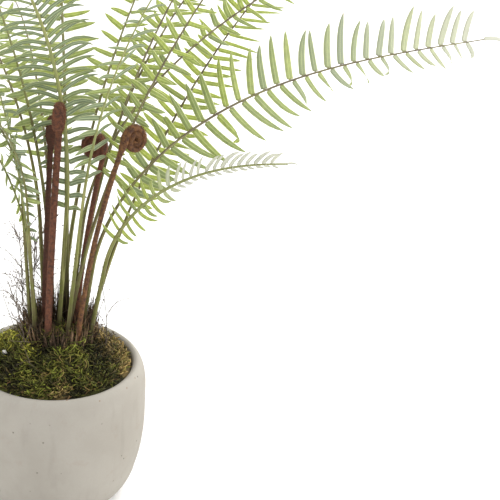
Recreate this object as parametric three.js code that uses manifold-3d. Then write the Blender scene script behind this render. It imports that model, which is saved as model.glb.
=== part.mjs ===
import * as THREE from 'three';
import { mergeVertices } from 'three/addons/utils/BufferGeometryUtils.js';
import Module from 'manifold-3d';

// A sword fern in a round cement pot. Millimetres, Z up.
// The origin is the middle of the pot's flat foot. The longest frond hangs out towards +X, and +Y is the
// back.

const clearance = 0.35; // between two pieces that touch
const joinTolerance = 1e-4;
const overshoot = 1; // a seat is cut this far past the surface above it
const chordSag = 0.42; // a round wall's facets lie inside its circle by up to this much

// ---- driving dimensions: pot ----

const potHeight = 145;
const footRadius = 58;
const bellyRadius = 90.5;
const bellyLow = 90; // the wall stands upright from here
const bellyHigh = 118; // to here, and then the shoulder turns in
const rimRadius = 81; // crest of the lip
const lipDrop = 4; // the lip rounds over inwards by this much
const mouthRadius = 76.5;
const cavityFloor = 14;
const cavityRadius = 70; // just above the rounded corner of the cavity
const cavityCorner = 26;
const potSegments = 40;

// ---- driving dimensions: soil, moss and crown ----

const soilTop = 126;
const fillInset = clearance + chordSag; // from the cavity's wall to the soil and the moss
const mossEdge = 136; // height of the moss at the pot's wall
const mossPeak = 176; // height of the moss at the middle of the pot
const mossFall = 1.6; // the power by which it falls away from the peak
const mossBump = 2.2;
const mossWaves = { rings: 0.21, turns: 3, crossRings: 0.09, crossTurns: 5 }; // rings in radians a millimetre
const mossRings = 6;
const mossSegments = 36;
const crown = {
  x: 5, // its middle
  y: 0,
  halfLength: 33.5,
  halfWidth: 26,
  foot: 104, // heights
  edge: 174,
  peak: 182,
  segments: 24,
  layers: 4,
};
const fibreCount = 18;
const fibreHeight = 26;
const fibreShortest = 0.5; // shares of that height
const fibreTallest = 1.1;
const fibreTurnJitter = 0.3; // of the way to the next fibre
const fibreWidth = 3.4;
const fibreThick = 2.2;
const fibreTip = 0.8; // width of a fibre's tip
const fibreLean = 16; // degrees outwards
const fibreLeanJitter = 6;
const fibreRing = 0.86; // where the fibres stand, as a share of the crown's oval
const fibreSink = 6; // how far their roots lie below the crown's edge

// ---- driving dimensions: fronds ----

const stemFoot = 152; // the stems stand in the crown from here
const holeDepthBelow = 3;
const pathSteps = 60;
const stipeHalfWidth = 2.4;
const stipeHalfDepth = 2.1;
const ribHalfWidth = 1.4;
const ribHalfDepth = 0.9;
const ribTipShare = 0.62; // of the rib's size at the frond's tip
const bellyHalfDepth = 0.45; // half the thickness of a leaflet at its middle
const tipHalfDepth = 0.35;
const stipeSteps = 6;
const leafletSpacing = 18;
const leafletWidth = 8;
const leafletBelly = 0.42; // where along its length a leaflet is widest
const leafletArch = 0.035; // rise of that place, as a share of the length
const leafletDroop = 0.08;
const leafletForward = 0.14; // its tip curves this share of its length towards the tip of the frond
const leafletFall = 0.25; // share of the length that the last leaflets lack
const leafletFallPower = 4;
const rootAtTip = 0.6; // width of a leaflet's root at the tip of the blade, as a share
const sweepLow = 80; // degrees between the rib and a leaflet at the foot of the blade
const sweepHigh = 64; // and at its tip
const leafletJitter = 5; // degrees
const lengthJitter = 0.06;
const tipLeafletLength = 0.5; // length of the leaflet at the frond's tip, as a share of the longest
const tipLeafletHalf = 2.2;
const tipLeafletBelly = 0.4;
const liftTries = [0, 14, -14, 28, -28, 42, -42];
const lengthTries = [1, 0.8, 0.6];
const seed = 11;

// Each frond: where its stem leaves the crown (x, y), its heading in degrees (0 is +X, 90 is the back), its
// lean from the vertical at the foot and at the tip, the share of the length where the arch starts, how
// early the arch is over, the length, the bare share, the longest leaflet, the turn of the blade about its
// rib, how far the leaflets fold up, the first leaflet's length as a share of the longest, and the share of
// the blade at which the leaflets reach full length.
const frondColumns = [
  'name', 'x', 'y', 'heading', 'leanLow', 'leanHigh', 'archStart', 'archEase',
  'length', 'bare', 'leaflet', 'roll', 'fold', 'firstLeaflet', 'fullAt',
];
const frondRows = [
  ['frond_01', 2, -10, -125, -6, 46, 0.30, 1.0, 470, 0.32, 46, 40, 32, 0.4, 0.5],
  ['frond_02', 22, -4, 16, 9, 86, 0.16, 2.4, 585, 0.30, 50, 54, 4, 0.5, 0.3],
  ['frond_03', 30, -9, -14, 10, 84, 0.31, 1.4, 327, 0.40, 25, 58, 20, 0.8, 0.2],
  ['frond_04', 10, -7, 4, 6, 35, 0, 1.0, 440, 0.43, 30, 35, 6, 0.6, 0.3],
  ['frond_05', 11, 8, 18, 7, 66, 0.25, 2.0, 530, 0.35, 32, 34, 6, 0.7, 0.2],
  ['frond_06', 29, 5, 38, 15, 62, 0, 1.0, 500, 0.30, 38, 12, 4, 0.6, 0.2],
  ['frond_07', 9, -17, -40, 7, 34, 0.40, 1.0, 430, 0.46, 30, 0, 6, 0.6, 0.3],
  ['frond_08', 4, 17, 52, 9, 46, 0.20, 1.0, 430, 0.54, 28, 0, 6, 0.7, 0.2],
  ['frond_09', -4, 8, 150, 1, 30, 0.20, 1.0, 440, 0.50, 32, 0, 6, 0.7, 0.2],
  ['frond_10', -15, -6, -165, 5, 23, 0.35, 1.0, 400, 0.32, 20, 0, 30, 0.7, 0.2],
  ['frond_11', -17, 4, 178, 4, 62, 0.28, 1.0, 370, 0.36, 26, 0, 8, 0.7, 0.2],
  ['frond_12', 12, 14, 95, 4, 42, 0.30, 1.0, 460, 0.50, 32, 0, 6, 0.7, 0.2],
  ['frond_13', 21, 11, 47, 4, 66, 0.12, 1.0, 450, 0.52, 28, 0, 6, 0.7, 0.2],
  ['frond_14', 20, 4, 38, 3, 44, 0.05, 1.0, 440, 0.45, 28, 0, 6, 0.7, 0.2],
  ['frond_15', -9, 14, 124, 4, 66, 0.30, 1.2, 420, 0.52, 36, 0, 6, 0.7, 0.2],
  ['frond_16', -2, 18, 100, 6, 88, 0.28, 1.2, 410, 0.46, 36, 0, 6, 0.7, 0.2],
  ['frond_17', -22, -2, 172, 3, 94, 0.40, 1.2, 430, 0.42, 36, 0, 6, 0.7, 0.2],
  ['frond_18', -18, -13, -150, 3, 74, 0.42, 1.1, 400, 0.42, 36, 0, 6, 0.7, 0.2],
];

// ---- driving dimensions: young coiled fronds, and dry twigs ----

const coilTurns = 1.5;
const coilOuter = 11; // from the middle of the coil to the middle of its outer turn
const coilInner = 3.2;
const coilTall = 1.2; // height of the coil over its width
const coilSteps = 22;
const coilHalfAcross = 2.5; // half the tube's width, in the plane of the coil
const coilHalfAcrossEnd = 1.7;
const coilHalfThickLow = 3.4; // half the coil's thickness, at its top and its foot
const coilHalfThick = 5.4; // and at half its height
const youngStemHalf = 2.9;
const youngNeck = 0.06; // share of the stem over which it swells into the coil
const youngSides = 6;
const youngStemSteps = 7; // up to the neck
// Each young frond: the place and lean of its stem as above, and the heading that its coil turns towards.
const youngColumns = ['name', 'x', 'y', 'heading', 'leanLow', 'leanHigh', 'length', 'coilHeading'];
const youngRows = [
  ['young_frond_1', -8, -19, 20, 2, 4, 256, -96],
  ['young_frond_2', 20, -19, -12, 4, 17, 239, 30],
  ['young_frond_3', 17, -1, 15, 4, 12, 217, 160],
  ['young_frond_4', -11, 1, 20, 1, 3, 228, 85],
];

const twigHalf = 0.6;
const twigGuard = 1.5; // leaflets keep off a twig as if it were this much thicker
const twigFoot = 132;
const twigBranches = 4;
const twigSteps = 5;
const twigBranchLean = 38; // degrees between a twig and its branch
const twigLeanJitter = 8;
const twigTipShare = 0.6; // of the twig's size at its tip
const branchLow = 0.38; // where the first and the last branch leave, as shares of the twig's length
const branchHigh = 0.86;
const branchHalf = 0.33;
const branchLengthLow = 0.22; // lengths of the lowest and the highest branch, as shares of the twig's
const branchLengthHigh = 0.17;
// Each twig: its place in the moss, its heading, its lean at the foot and the tip, its length.
const twigColumns = ['name', 'x', 'y', 'heading', 'leanLow', 'leanHigh', 'length'];
const twigRows = [
  ['dry_twig_1', -30, 9, 110, 1, 8, 142],
  ['dry_twig_2', -21, 23, 85, 2, 10, 132],
  ['dry_twig_3', -26, -19, -150, 1, 20, 116],
  ['dry_twig_4', 45, -3, -20, 14, -10, 80],
  ['dry_twig_5', -10, 28, 75, 2, 10, 128],
];

// ---- small helpers ----

const wasm = await Module();
wasm.setup();

const radians = THREE.MathUtils.degToRad;
const mix = THREE.MathUtils.lerp;

function rowsToRecords(columns, rows) {
  return rows.map((row) => Object.fromEntries(columns.map((column, i) => [column, row[i]])));
}

// A seeded draw between -1 and 1.
let randomState = seed;
function draw() {
  randomState = (randomState * 1664525 + 1013904223) % 4294967296;
  return (randomState / 4294967296) * 2 - 1;
}

// Collects points and outward faces of one closed surface.
class Surface {
  constructor() {
    this.positions = [];
    this.faces = [];
  }

  point(place) {
    this.positions.push(place.x, place.y, place.z);
    return this.positions.length / 3 - 1;
  }

  quad(a, b, c, d) {
    this.faces.push(a, b, c, a, c, d);
  }

  geometry() {
    const geometry = new THREE.BufferGeometry();
    geometry.setAttribute('position', new THREE.Float32BufferAttribute(this.positions, 3));
    geometry.setIndex(this.faces);
    return geometry;
  }
}

function solidOf(geometry) {
  const bare = geometry.clone();
  bare.deleteAttribute('normal');
  bare.deleteAttribute('uv');
  const merged = mergeVertices(bare, joinTolerance);
  const vertProperties = merged.attributes.position.array;
  const triVerts = new Uint32Array(merged.index.array);
  return new wasm.Manifold(new wasm.Mesh({ numProp: 3, vertProperties, triVerts }));
}

function geometryOf(solid) {
  const mesh = solid.getMesh();
  const geometry = new THREE.BufferGeometry();
  geometry.setAttribute('position', new THREE.BufferAttribute(mesh.vertProperties, 3));
  geometry.setIndex(new THREE.BufferAttribute(mesh.triVerts, 1));
  return geometry;
}

function joined(solids) {
  return solids.reduce((whole, solid) => whole.add(solid));
}

// The largest body of a solid; scraps that a cut leaves loose are dropped.
function largestBody(solid) {
  const bodies = solid.decompose();
  return bodies.reduce((best, body) => (body.volume() > best.volume() ? body : best));
}

// ---- stems: where they run ----

// The lean eases from its low to its high value once the arch has started.
function leanAt(stem, share) {
  const archStart = stem.archStart ?? 0;
  const past = Math.max(0, (share - archStart) / (1 - archStart));
  const eased = 1 - Math.pow(1 - past, stem.archEase ?? 1);
  return mix(stem.leanLow, stem.leanHigh, eased);
}

function directionAt(stem, share) {
  const lean = radians(leanAt(stem, share));
  const heading = radians(stem.heading);
  const out = Math.sin(lean);
  return new THREE.Vector3(out * Math.cos(heading), out * Math.sin(heading), Math.cos(lean));
}

// The stem's line is the sum of short steps, each in the direction at its middle.
function stemLine(stem, foot) {
  const place = new THREE.Vector3(stem.x, stem.y, foot);
  const line = [place.clone()];
  for (let i = 0; i < pathSteps; i++) {
    place.addScaledVector(directionAt(stem, (i + 0.5) / pathSteps), stem.length / pathSteps);
    line.push(place.clone());
  }
  return line;
}

// A frame on the stem: the place, the direction along it, the side, and the upper face's normal, with the
// side and the normal turned about the stem by its roll.
function frameAt(stem, share) {
  const position = THREE.MathUtils.clamp(share, 0, 1) * pathSteps;
  const index = Math.min(Math.floor(position), pathSteps - 1);
  const at = stem.line[index].clone().lerp(stem.line[index + 1], position - index);
  const along = directionAt(stem, share);
  const heading = radians(stem.heading);
  const side = new THREE.Vector3(-Math.sin(heading), Math.cos(heading), 0);
  side.applyAxisAngle(along, radians(stem.roll ?? 0));
  const up = along.clone().cross(side);
  return { at, along, side, up };
}

// A ring of corners round a frame, counter-clockwise about its direction. Four corners make a rectangle.
function ringAround(frame, halfSide, halfUp, sides) {
  const reach = sides === 4 ? Math.SQRT2 : 1;
  const corners = [];
  for (let k = 0; k < sides; k++) {
    const angle = ((k + 0.5) / sides) * Math.PI * 2;
    const corner = frame.at.clone();
    corner.addScaledVector(frame.side, Math.cos(angle) * reach * halfSide);
    corner.addScaledVector(frame.up, Math.sin(angle) * reach * halfUp);
    corners.push(corner);
  }
  return corners;
}

// A closed tube through a list of rings.
function tubeThrough(rings) {
  const surface = new Surface();
  const rows = rings.map((ring) => ring.map((corner) => surface.point(corner)));
  const sides = rows[0].length;
  for (let i = 1; i < rows.length; i++) {
    for (let k = 0; k < sides; k++) {
      const next = (k + 1) % sides;
      surface.quad(rows[i - 1][k], rows[i - 1][next], rows[i][next], rows[i][k]);
    }
  }
  capRing(surface, rows[0].slice().reverse());
  capRing(surface, rows.at(-1));
  return surface.geometry();
}

function capRing(surface, row) {
  for (let k = 2; k < row.length; k++) {
    surface.faces.push(row[0], row[k - 1], row[k]);
  }
}

// ---- stems and leaflets: keeping clear of each other ----

// A shape for the clearance test: a line or a triangle, with the half thickness of what it stands for.
function lineShape(start, end, half, owner) {
  const middle = start.clone().lerp(end, 0.5);
  const reach = start.distanceTo(end) / 2 + half;
  const edges = [new THREE.Line3(start, end)];
  return { owner, half, middle, reach, corners: [start, end], edges, face: null };
}

function triangleShape(a, b, c, half, owner) {
  const middle = a.clone().add(b).add(c).divideScalar(3);
  const reach = Math.max(middle.distanceTo(a), middle.distanceTo(b), middle.distanceTo(c)) + half;
  const edges = [new THREE.Line3(a, b), new THREE.Line3(b, c), new THREE.Line3(c, a)];
  return { owner, half, middle, reach, corners: [a, b, c], edges, face: new THREE.Triangle(a, b, c) };
}

function edgePiercesFace(edge, face) {
  const ray = new THREE.Ray(edge.start, edge.delta(new THREE.Vector3()).normalize());
  const hit = ray.intersectTriangle(face.a, face.b, face.c, false, new THREE.Vector3());
  return hit !== null && hit.distanceTo(edge.start) <= edge.distance();
}

// The distance between two shapes is the least one between their edges, and between the corners of each
// and the face of the other, and nought where an edge of one goes through the other's face.
function distanceBetween(one, other) {
  let least = Infinity;
  for (const edge of one.edges) {
    for (const otherEdge of other.edges) {
      least = Math.min(least, Math.sqrt(edge.distanceSqToLine3(otherEdge)));
    }
  }
  const nearest = new THREE.Vector3();
  for (const [from, to] of [[one, other], [other, one]]) {
    if (to.face === null) continue;
    for (const corner of from.corners) {
      least = Math.min(least, to.face.closestPointToPoint(corner, nearest).distanceTo(corner));
    }
    if (from.edges.some((edge) => edgePiercesFace(edge, to.face))) return 0;
  }
  return least;
}

function isClear(shape, placed) {
  return placed.every((other) => {
    if (other.owner === shape.owner) return true;
    const needed = shape.half + other.half + clearance;
    if (shape.middle.distanceTo(other.middle) > shape.reach + other.reach + clearance) return true;
    return distanceBetween(shape, other) > needed;
  });
}

// ---- pot, soil, moss and crown ----

// Points on a quarter of an ellipse, from angle 0 to 90 degrees, without the first.
function quarterArc(steps, pointAt) {
  return Array.from({ length: steps }, (_, i) => pointAt(((i + 1) / steps) * (Math.PI / 2)));
}

function turned(profile, segments) {
  const geometry = new THREE.LatheGeometry(profile, segments);
  geometry.rotateX(Math.PI / 2);
  return geometry;
}

// The pot's outside is a flat foot, a quarter of an ellipse up to the belly, an upright band, and a
// quarter of an ellipse in to the lip. Its cavity is a straight wall with a rounded corner.
function potGeometry() {
  const profile = [new THREE.Vector2(0, 0), new THREE.Vector2(footRadius, 0)];
  profile.push(...quarterArc(9, (angle) => new THREE.Vector2(
    mix(footRadius, bellyRadius, Math.sin(angle)),
    bellyLow * (1 - Math.cos(angle)),
  )));
  profile.push(new THREE.Vector2(bellyRadius, bellyHigh));
  profile.push(...quarterArc(6, (angle) => new THREE.Vector2(
    mix(rimRadius, bellyRadius, Math.cos(angle)),
    mix(bellyHigh, potHeight, Math.sin(angle)),
  )));
  profile.push(...quarterArc(4, (angle) => new THREE.Vector2(
    mix(rimRadius, mouthRadius, Math.sin(angle)),
    potHeight - lipDrop * (1 - Math.cos(angle)),
  )));
  profile.push(new THREE.Vector2(cavityRadius, cavityFloor + cavityCorner));
  profile.push(...quarterArc(4, (angle) => new THREE.Vector2(
    cavityRadius - cavityCorner * (1 - Math.cos(angle)),
    cavityFloor + cavityCorner * (1 - Math.sin(angle)),
  )));
  profile.push(new THREE.Vector2(0, cavityFloor));
  return turned(profile, potSegments);
}

// The cavity's radius at a height, on its straight wall.
function cavityRadiusAt(height) {
  const low = cavityFloor + cavityCorner;
  const high = potHeight - lipDrop;
  return mix(cavityRadius, mouthRadius, (height - low) / (high - low));
}

// The crown's oval outline at a height, scaled by a share and grown by a margin.
function crownRing(height, share, margin) {
  const frame = {
    at: new THREE.Vector3(crown.x, crown.y, height),
    side: new THREE.Vector3(1, 0, 0),
    up: new THREE.Vector3(0, 1, 0),
  };
  const halfLength = crown.halfLength * share + margin;
  const halfWidth = crown.halfWidth * share + margin;
  return ringAround(frame, halfLength, halfWidth, crown.segments);
}

function crownPrism(low, high, margin) {
  return tubeThrough([crownRing(low, 1, margin), crownRing(high, 1, margin)]);
}

function soilGeometry() {
  const low = cavityFloor + clearance;
  const corner = cavityFloor + cavityCorner;
  const foot = cavityRadius - cavityCorner - fillInset;
  const profile = [new THREE.Vector2(0, low), new THREE.Vector2(foot - fillInset, low)];
  profile.push(...quarterArc(4, (angle) => new THREE.Vector2(
    foot + cavityCorner * Math.sin(angle),
    low + (corner - low) * (1 - Math.cos(angle)),
  )));
  profile.push(new THREE.Vector2(cavityRadiusAt(soilTop) - fillInset, soilTop));
  profile.push(new THREE.Vector2(0, soilTop));
  const fill = solidOf(turned(profile, potSegments));
  const seat = solidOf(crownPrism(crown.foot - clearance, soilTop + overshoot, clearance));
  return geometryOf(fill.subtract(seat));
}

// The moss is a dome: its height falls from the crown to the wall as a power of the share of the radius,
// with low lumps from two crossed waves.
function mossHeight(radius, angle) {
  const edge = cavityRadiusAt(mossEdge);
  const share = radius / edge;
  const dome = mix(mossPeak, mossEdge, Math.pow(share, mossFall));
  const { rings, turns, crossRings, crossTurns } = mossWaves;
  const wave = Math.sin(radius * rings + turns * angle);
  const lumps = wave * Math.cos(crossTurns * angle - radius * crossRings);
  return dome + mossBump * lumps * (1 - share);
}

function mossSolid(holes) {
  const edge = cavityRadiusAt(mossEdge) - fillInset;
  const low = soilTop + clearance;
  const profile = [new THREE.Vector2(0, low), new THREE.Vector2(cavityRadiusAt(low) - fillInset, low)];
  for (let i = mossRings; i >= 0; i--) {
    profile.push(new THREE.Vector2((edge * i) / mossRings, mossEdge));
  }
  const dome = turned(profile, mossSegments);
  const position = dome.attributes.position;
  for (let i = 0; i < position.count; i++) {
    if (position.getZ(i) < (low + mossEdge) / 2) continue; // the floor and the wall's foot stay
    const radius = Math.hypot(position.getX(i), position.getY(i));
    const angle = radius < 1 ? 0 : Math.atan2(position.getY(i), position.getX(i));
    position.setZ(i, mossHeight(radius, angle));
  }
  return solidOf(dome).subtract(joined(holes));
}

// The crown is an oval stock with a low dome and a ragged collar of upright fibres, cut by the stems' holes.
function crownSolid(holes) {
  const rings = [crownRing(crown.foot, 1, 0), crownRing(crown.edge, 1, 0)];
  for (let i = 1; i < crown.layers; i++) {
    const angle = (i / crown.layers) * (Math.PI / 2);
    rings.push(crownRing(mix(crown.edge, crown.peak, Math.sin(angle)), Math.cos(angle), 0));
  }
  const stock = tubeThrough(rings);
  const fibres = [];
  for (let k = 0; k < fibreCount; k++) {
    const angle = ((k + fibreTurnJitter * draw()) / fibreCount) * Math.PI * 2;
    const lean = radians(fibreLean + fibreLeanJitter * draw());
    const height = fibreHeight * mix(fibreShortest, fibreTallest, 0.5 + 0.5 * draw());
    const out = new THREE.Vector3(Math.cos(angle), Math.sin(angle), 0);
    const along = out.clone().multiplyScalar(Math.sin(lean)).setZ(Math.cos(lean));
    const side = new THREE.Vector3(-out.y, out.x, 0);
    const up = along.clone().cross(side);
    const foot = new THREE.Vector3(
      crown.x + crown.halfLength * fibreRing * out.x,
      crown.y + crown.halfWidth * fibreRing * out.y,
      crown.edge - fibreSink,
    );
    const top = foot.clone().addScaledVector(along, height);
    fibres.push(solidOf(tubeThrough([
      ringAround({ at: foot, side, up }, fibreWidth / 2, fibreThick / 2, 4),
      ringAround({ at: top, side, up }, fibreTip / 2, fibreTip / 2, 4),
    ])));
  }
  return largestBody(joined([solidOf(stock), ...fibres]).subtract(joined(holes)));
}

// ---- fronds ----

// How long a leaflet is, as a share of the longest, at a share of the blade from its foot to its tip.
function leafletShare(frond, bladeShare) {
  const grown = mix(frond.firstLeaflet, 1, Math.min(1, bladeShare / frond.fullAt));
  return grown * (1 - leafletFall * Math.pow(bladeShare, leafletFallPower));
}

// The stem narrows from its foot to the blade and on to the tip.
function stemHalves(frond, share) {
  const low = Math.min(1, share / frond.bare);
  const taper = share < frond.bare ? 1 : mix(1, ribTipShare, (share - frond.bare) / (1 - frond.bare));
  return {
    side: mix(stipeHalfWidth, ribHalfWidth, low) * taper,
    up: mix(stipeHalfDepth, ribHalfDepth, low) * taper,
  };
}

// The middle points of a leaflet: its two roots on the rib's edge, its belly and its tip.
function leafletPoints(frond, share, hand, sweep, lift, length) {
  const half = (0.5 * leafletWidth * rootShare(frond, share)) / frond.length;
  const frame = frameAt(frond, share);
  const low = rootPoint(frond, share - half, hand);
  const high = rootPoint(frond, share + half, hand);
  const out = frame.side.clone().multiplyScalar(hand * Math.cos(lift));
  out.addScaledVector(frame.up, Math.sin(lift));
  const along = frame.along.clone().multiplyScalar(Math.cos(sweep)).addScaledVector(out, Math.sin(sweep));
  const face = frame.up.clone().multiplyScalar(Math.cos(lift));
  face.addScaledVector(frame.side, -hand * Math.sin(lift));
  const root = low.clone().lerp(high, 0.5);
  const belly = root.clone().addScaledVector(along, leafletBelly * length);
  belly.addScaledVector(frame.along, -0.5 * leafletWidth * Math.sin(sweep));
  belly.addScaledVector(face, leafletArch * length);
  const tip = root.clone().addScaledVector(along, length);
  tip.addScaledVector(frame.along, leafletForward * length);
  tip.z -= leafletDroop * length;
  return { low, high, belly, tip, face, shares: [share - half, share + half] };
}

// A leaflet's root narrows towards the tip of the blade.
function rootShare(frond, share) {
  return mix(1, rootAtTip, (share - frond.bare) / (1 - frond.bare));
}

function rootPoint(frond, share, hand) {
  const frame = frameAt(frond, share);
  return frame.at.clone().addScaledVector(frame.side, hand * stemHalves(frond, share).side);
}

function leafletShapes(points, owner) {
  const { low, high, belly, tip } = points;
  return [
    triangleShape(low, high, belly, ribHalfDepth, owner),
    triangleShape(high, tip, belly, bellyHalfDepth, owner),
  ];
}

// Places one leaflet, lifted, lowered or shortened until it is clear of what is already placed.
function placeLeaflet(frond, share, hand, placed) {
  const bladeShare = (share - frond.bare) / (1 - frond.bare);
  const sweep = radians(mix(sweepLow, sweepHigh, bladeShare) + leafletJitter * draw());
  const lift = radians(frond.fold + leafletJitter * draw());
  const length = frond.leaflet * leafletShare(frond, bladeShare) * (1 + lengthJitter * draw());
  for (const shorter of lengthTries) {
    for (const more of liftTries) {
      const points = leafletPoints(frond, share, hand, sweep, lift + radians(more), length * shorter);
      const shapes = leafletShapes(points, frond.name);
      if (shapes.every((shape) => isClear(shape, placed))) {
        placed.push(...shapes);
        return points;
      }
    }
  }
  return null;
}

function placeLeaflets(frond, placed) {
  const count = Math.floor((frond.length * (1 - frond.bare) - leafletWidth) / leafletSpacing);
  const pairs = [];
  for (let i = 0; i < count; i++) {
    const share = frond.bare + ((i + 0.5) * leafletSpacing) / frond.length;
    pairs.push({
      left: placeLeaflet(frond, share, 1, placed),
      right: placeLeaflet(frond, share, -1, placed),
    });
  }
  return pairs.filter(({ left, right }) => left || right);
}

// The rings of the leaflet at a frond's tip, from its belly to its point.
function tipLeafletRings(frond) {
  const length = frond.leaflet * tipLeafletLength;
  const sections = [
    { reach: tipLeafletBelly * length, side: tipLeafletHalf, up: bellyHalfDepth },
    { reach: length, side: tipHalfDepth, up: tipHalfDepth },
  ];
  return sections.map(({ reach, side, up }) => {
    const frame = frameAt(frond, 1);
    frame.at.addScaledVector(frame.along, reach);
    return ringAround(frame, side, up, 4);
  });
}

// A frond is one closed surface: a four-sided stem whose side walls open into leaflets, and a leaflet that
// goes on from its tip.
function frondGeometry(frond, pairs) {
  const stations = [];
  for (let i = 0; i <= stipeSteps; i++) {
    stations.push({ share: (frond.bare * i) / stipeSteps });
  }
  for (const { left, right } of pairs) {
    const [low, high] = (left ?? right).shares;
    stations.push({ share: low }, { share: high, left, right });
  }
  stations.push({ share: 1 });
  const surface = new Surface();
  let last = null;
  for (const { share, left, right } of stations) {
    const halves = stemHalves(frond, share);
    const ring = ringAround(frameAt(frond, share), halves.side, halves.up, 4);
    const row = ring.map((corner) => surface.point(corner));
    if (last === null) {
      capRing(surface, row.slice().reverse());
    } else {
      addStretch(surface, last, row, left, right);
    }
    last = row;
  }
  for (const ring of tipLeafletRings(frond)) {
    const row = ring.map((corner) => surface.point(corner));
    addStretch(surface, last, row);
    last = row;
  }
  capRing(surface, last);
  return surface.geometry();
}

// One stretch of the stem between two rings of four corners: top and bottom, and on each side a leaflet or
// a plain wall.
function addStretch(surface, last, row, left, right) {
  const [leftTop, rightTop, rightBottom, leftBottom] = row;
  const [lastLeftTop, lastRightTop, lastRightBottom, lastLeftBottom] = last;
  surface.quad(lastLeftTop, lastRightTop, rightTop, leftTop);
  surface.quad(lastRightBottom, lastLeftBottom, leftBottom, rightBottom);
  if (left) {
    const high = { top: leftTop, bottom: leftBottom };
    const low = { top: lastLeftTop, bottom: lastLeftBottom };
    const { belly, tip } = addBlade(surface, left);
    addLeaflet(surface, [high, tip, belly, low], 3);
  } else {
    surface.quad(lastLeftBottom, lastLeftTop, leftTop, leftBottom);
  }
  if (right) {
    const high = { top: rightTop, bottom: rightBottom };
    const low = { top: lastRightTop, bottom: lastRightBottom };
    const { belly, tip } = addBlade(surface, right);
    addLeaflet(surface, [high, low, belly, tip], 0);
  } else {
    surface.quad(lastRightTop, lastRightBottom, rightBottom, rightTop);
  }
}

function addBlade(surface, leaflet) {
  const both = (place, half) => ({
    top: surface.point(place.clone().addScaledVector(leaflet.face, half)),
    bottom: surface.point(place.clone().addScaledVector(leaflet.face, -half)),
  });
  return { belly: both(leaflet.belly, bellyHalfDepth), tip: both(leaflet.tip, tipHalfDepth) };
}

// A leaflet's four corners start at its high root and run counter-clockwise seen from above. Both faces are
// split from that first corner, and every edge but the one on the rib gets a wall.
function addLeaflet(surface, corners, rootEdge) {
  for (const k of [1, 2]) {
    surface.faces.push(corners[0].top, corners[k].top, corners[k + 1].top);
    surface.faces.push(corners[0].bottom, corners[k + 1].bottom, corners[k].bottom);
  }
  for (let k = 0; k < corners.length; k++) {
    if (k === rootEdge) continue;
    const from = corners[k];
    const to = corners[(k + 1) % corners.length];
    surface.quad(from.top, from.bottom, to.bottom, to.top);
  }
}

// ---- young coiled fronds ----

// The stem runs up and then on round a flat spiral whose radius shrinks evenly with the angle. Its tube is
// round on the stem and, in the coil, wider across the coil's plane than in it.
function youngRings(young, margin) {
  const curl = radians(young.coilHeading);
  const towards = new THREE.Vector3(Math.cos(curl), Math.sin(curl), 0);
  const axle = new THREE.Vector3(-Math.sin(curl), Math.cos(curl), 0);
  const rings = [];
  for (let i = 0; i <= youngStemSteps + 1; i++) {
    const swell = Math.max(0, i - youngStemSteps);
    const share = mix(Math.min(1, i / youngStemSteps) * (1 - youngNeck), 1, swell);
    const along = directionAt(young, share);
    const side = axle.clone().addScaledVector(along, -axle.dot(along)).normalize();
    const at = frameAt(young, share).at;
    const thick = mix(youngStemHalf, coilHalfThick, swell) + margin;
    const across = mix(youngStemHalf, coilHalfAcross, swell) + margin;
    rings.push(ringAround({ at, side, up: along.clone().cross(side) }, thick, across, youngSides));
  }
  const top = young.line.at(-1);
  const middle = top.clone().addScaledVector(towards, coilOuter);
  for (let i = 1; i <= coilSteps; i++) {
    const share = i / coilSteps;
    const angle = share * coilTurns * Math.PI * 2;
    const radius = mix(coilOuter, coilInner, share);
    const outward = towards.clone().multiplyScalar(-Math.cos(angle));
    outward.z = Math.sin(angle) * coilTall;
    const at = middle.clone().addScaledVector(outward, radius);
    const rise = (Math.sin(angle) * radius) / coilOuter;
    const thick = mix(coilHalfThick, coilHalfThickLow, rise * rise);
    const across = mix(coilHalfAcross, coilHalfAcrossEnd, share);
    rings.push(ringAround({ at, side: axle, up: outward.normalize() }, thick, across, youngSides));
  }
  return rings;
}

// ---- dry twigs ----

// A twig is a thin stem with short branches, alternately to each side, each rooted on the stem's line.
function twigSolid(twig) {
  const stemRings = [];
  for (let i = 0; i <= twigSteps; i++) {
    const share = i / twigSteps;
    const half = twigHalf * mix(1, twigTipShare, share);
    stemRings.push(ringAround(frameAt(twig, share), half, half, 4));
  }
  const pieces = [solidOf(tubeThrough(stemRings))];
  for (let k = 0; k < twigBranches; k++) {
    const place = k / (twigBranches - 1);
    const share = mix(branchLow, branchHigh, place);
    const frame = frameAt(twig, share);
    const hand = k % 2 ? 1 : -1;
    const lean = radians(twigBranchLean + twigLeanJitter * draw());
    const along = frame.along.clone().multiplyScalar(Math.cos(lean));
    along.addScaledVector(frame.side, hand * Math.sin(lean));
    const side = frame.up;
    const up = along.clone().cross(side);
    const reach = twig.length * mix(branchLengthLow, branchLengthHigh, place);
    const end = frame.at.clone().addScaledVector(along, reach);
    pieces.push(solidOf(tubeThrough([
      ringAround({ at: frame.at, side, up }, branchHalf, branchHalf, 4),
      ringAround({ at: end, side, up }, branchHalf, branchHalf, 4),
    ])));
  }
  return largestBody(joined(pieces));
}

// ---- holes that the stems stand in ----

function frondHole(frond) {
  const rings = [0, 1, 2, 3].map((step) => {
    const share = (frond.bare * step) / stipeSteps;
    const halves = stemHalves(frond, share);
    return ringAround(frameAt(frond, share), halves.side + clearance, halves.up + clearance, 4);
  });
  return solidOf(tubeThrough([ringBelow(rings[0], frond), ...rings]));
}

function youngHole(young) {
  const rings = youngRings(young, clearance).slice(0, 3);
  return solidOf(tubeThrough([ringBelow(rings[0], young), ...rings]));
}

function twigHole(twig) {
  const half = twigHalf + clearance;
  const rings = [0, 1, 2].map((step) => ringAround(frameAt(twig, step / twigSteps), half, half, 4));
  return solidOf(tubeThrough([ringBelow(rings[0], twig), ...rings]));
}

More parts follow.
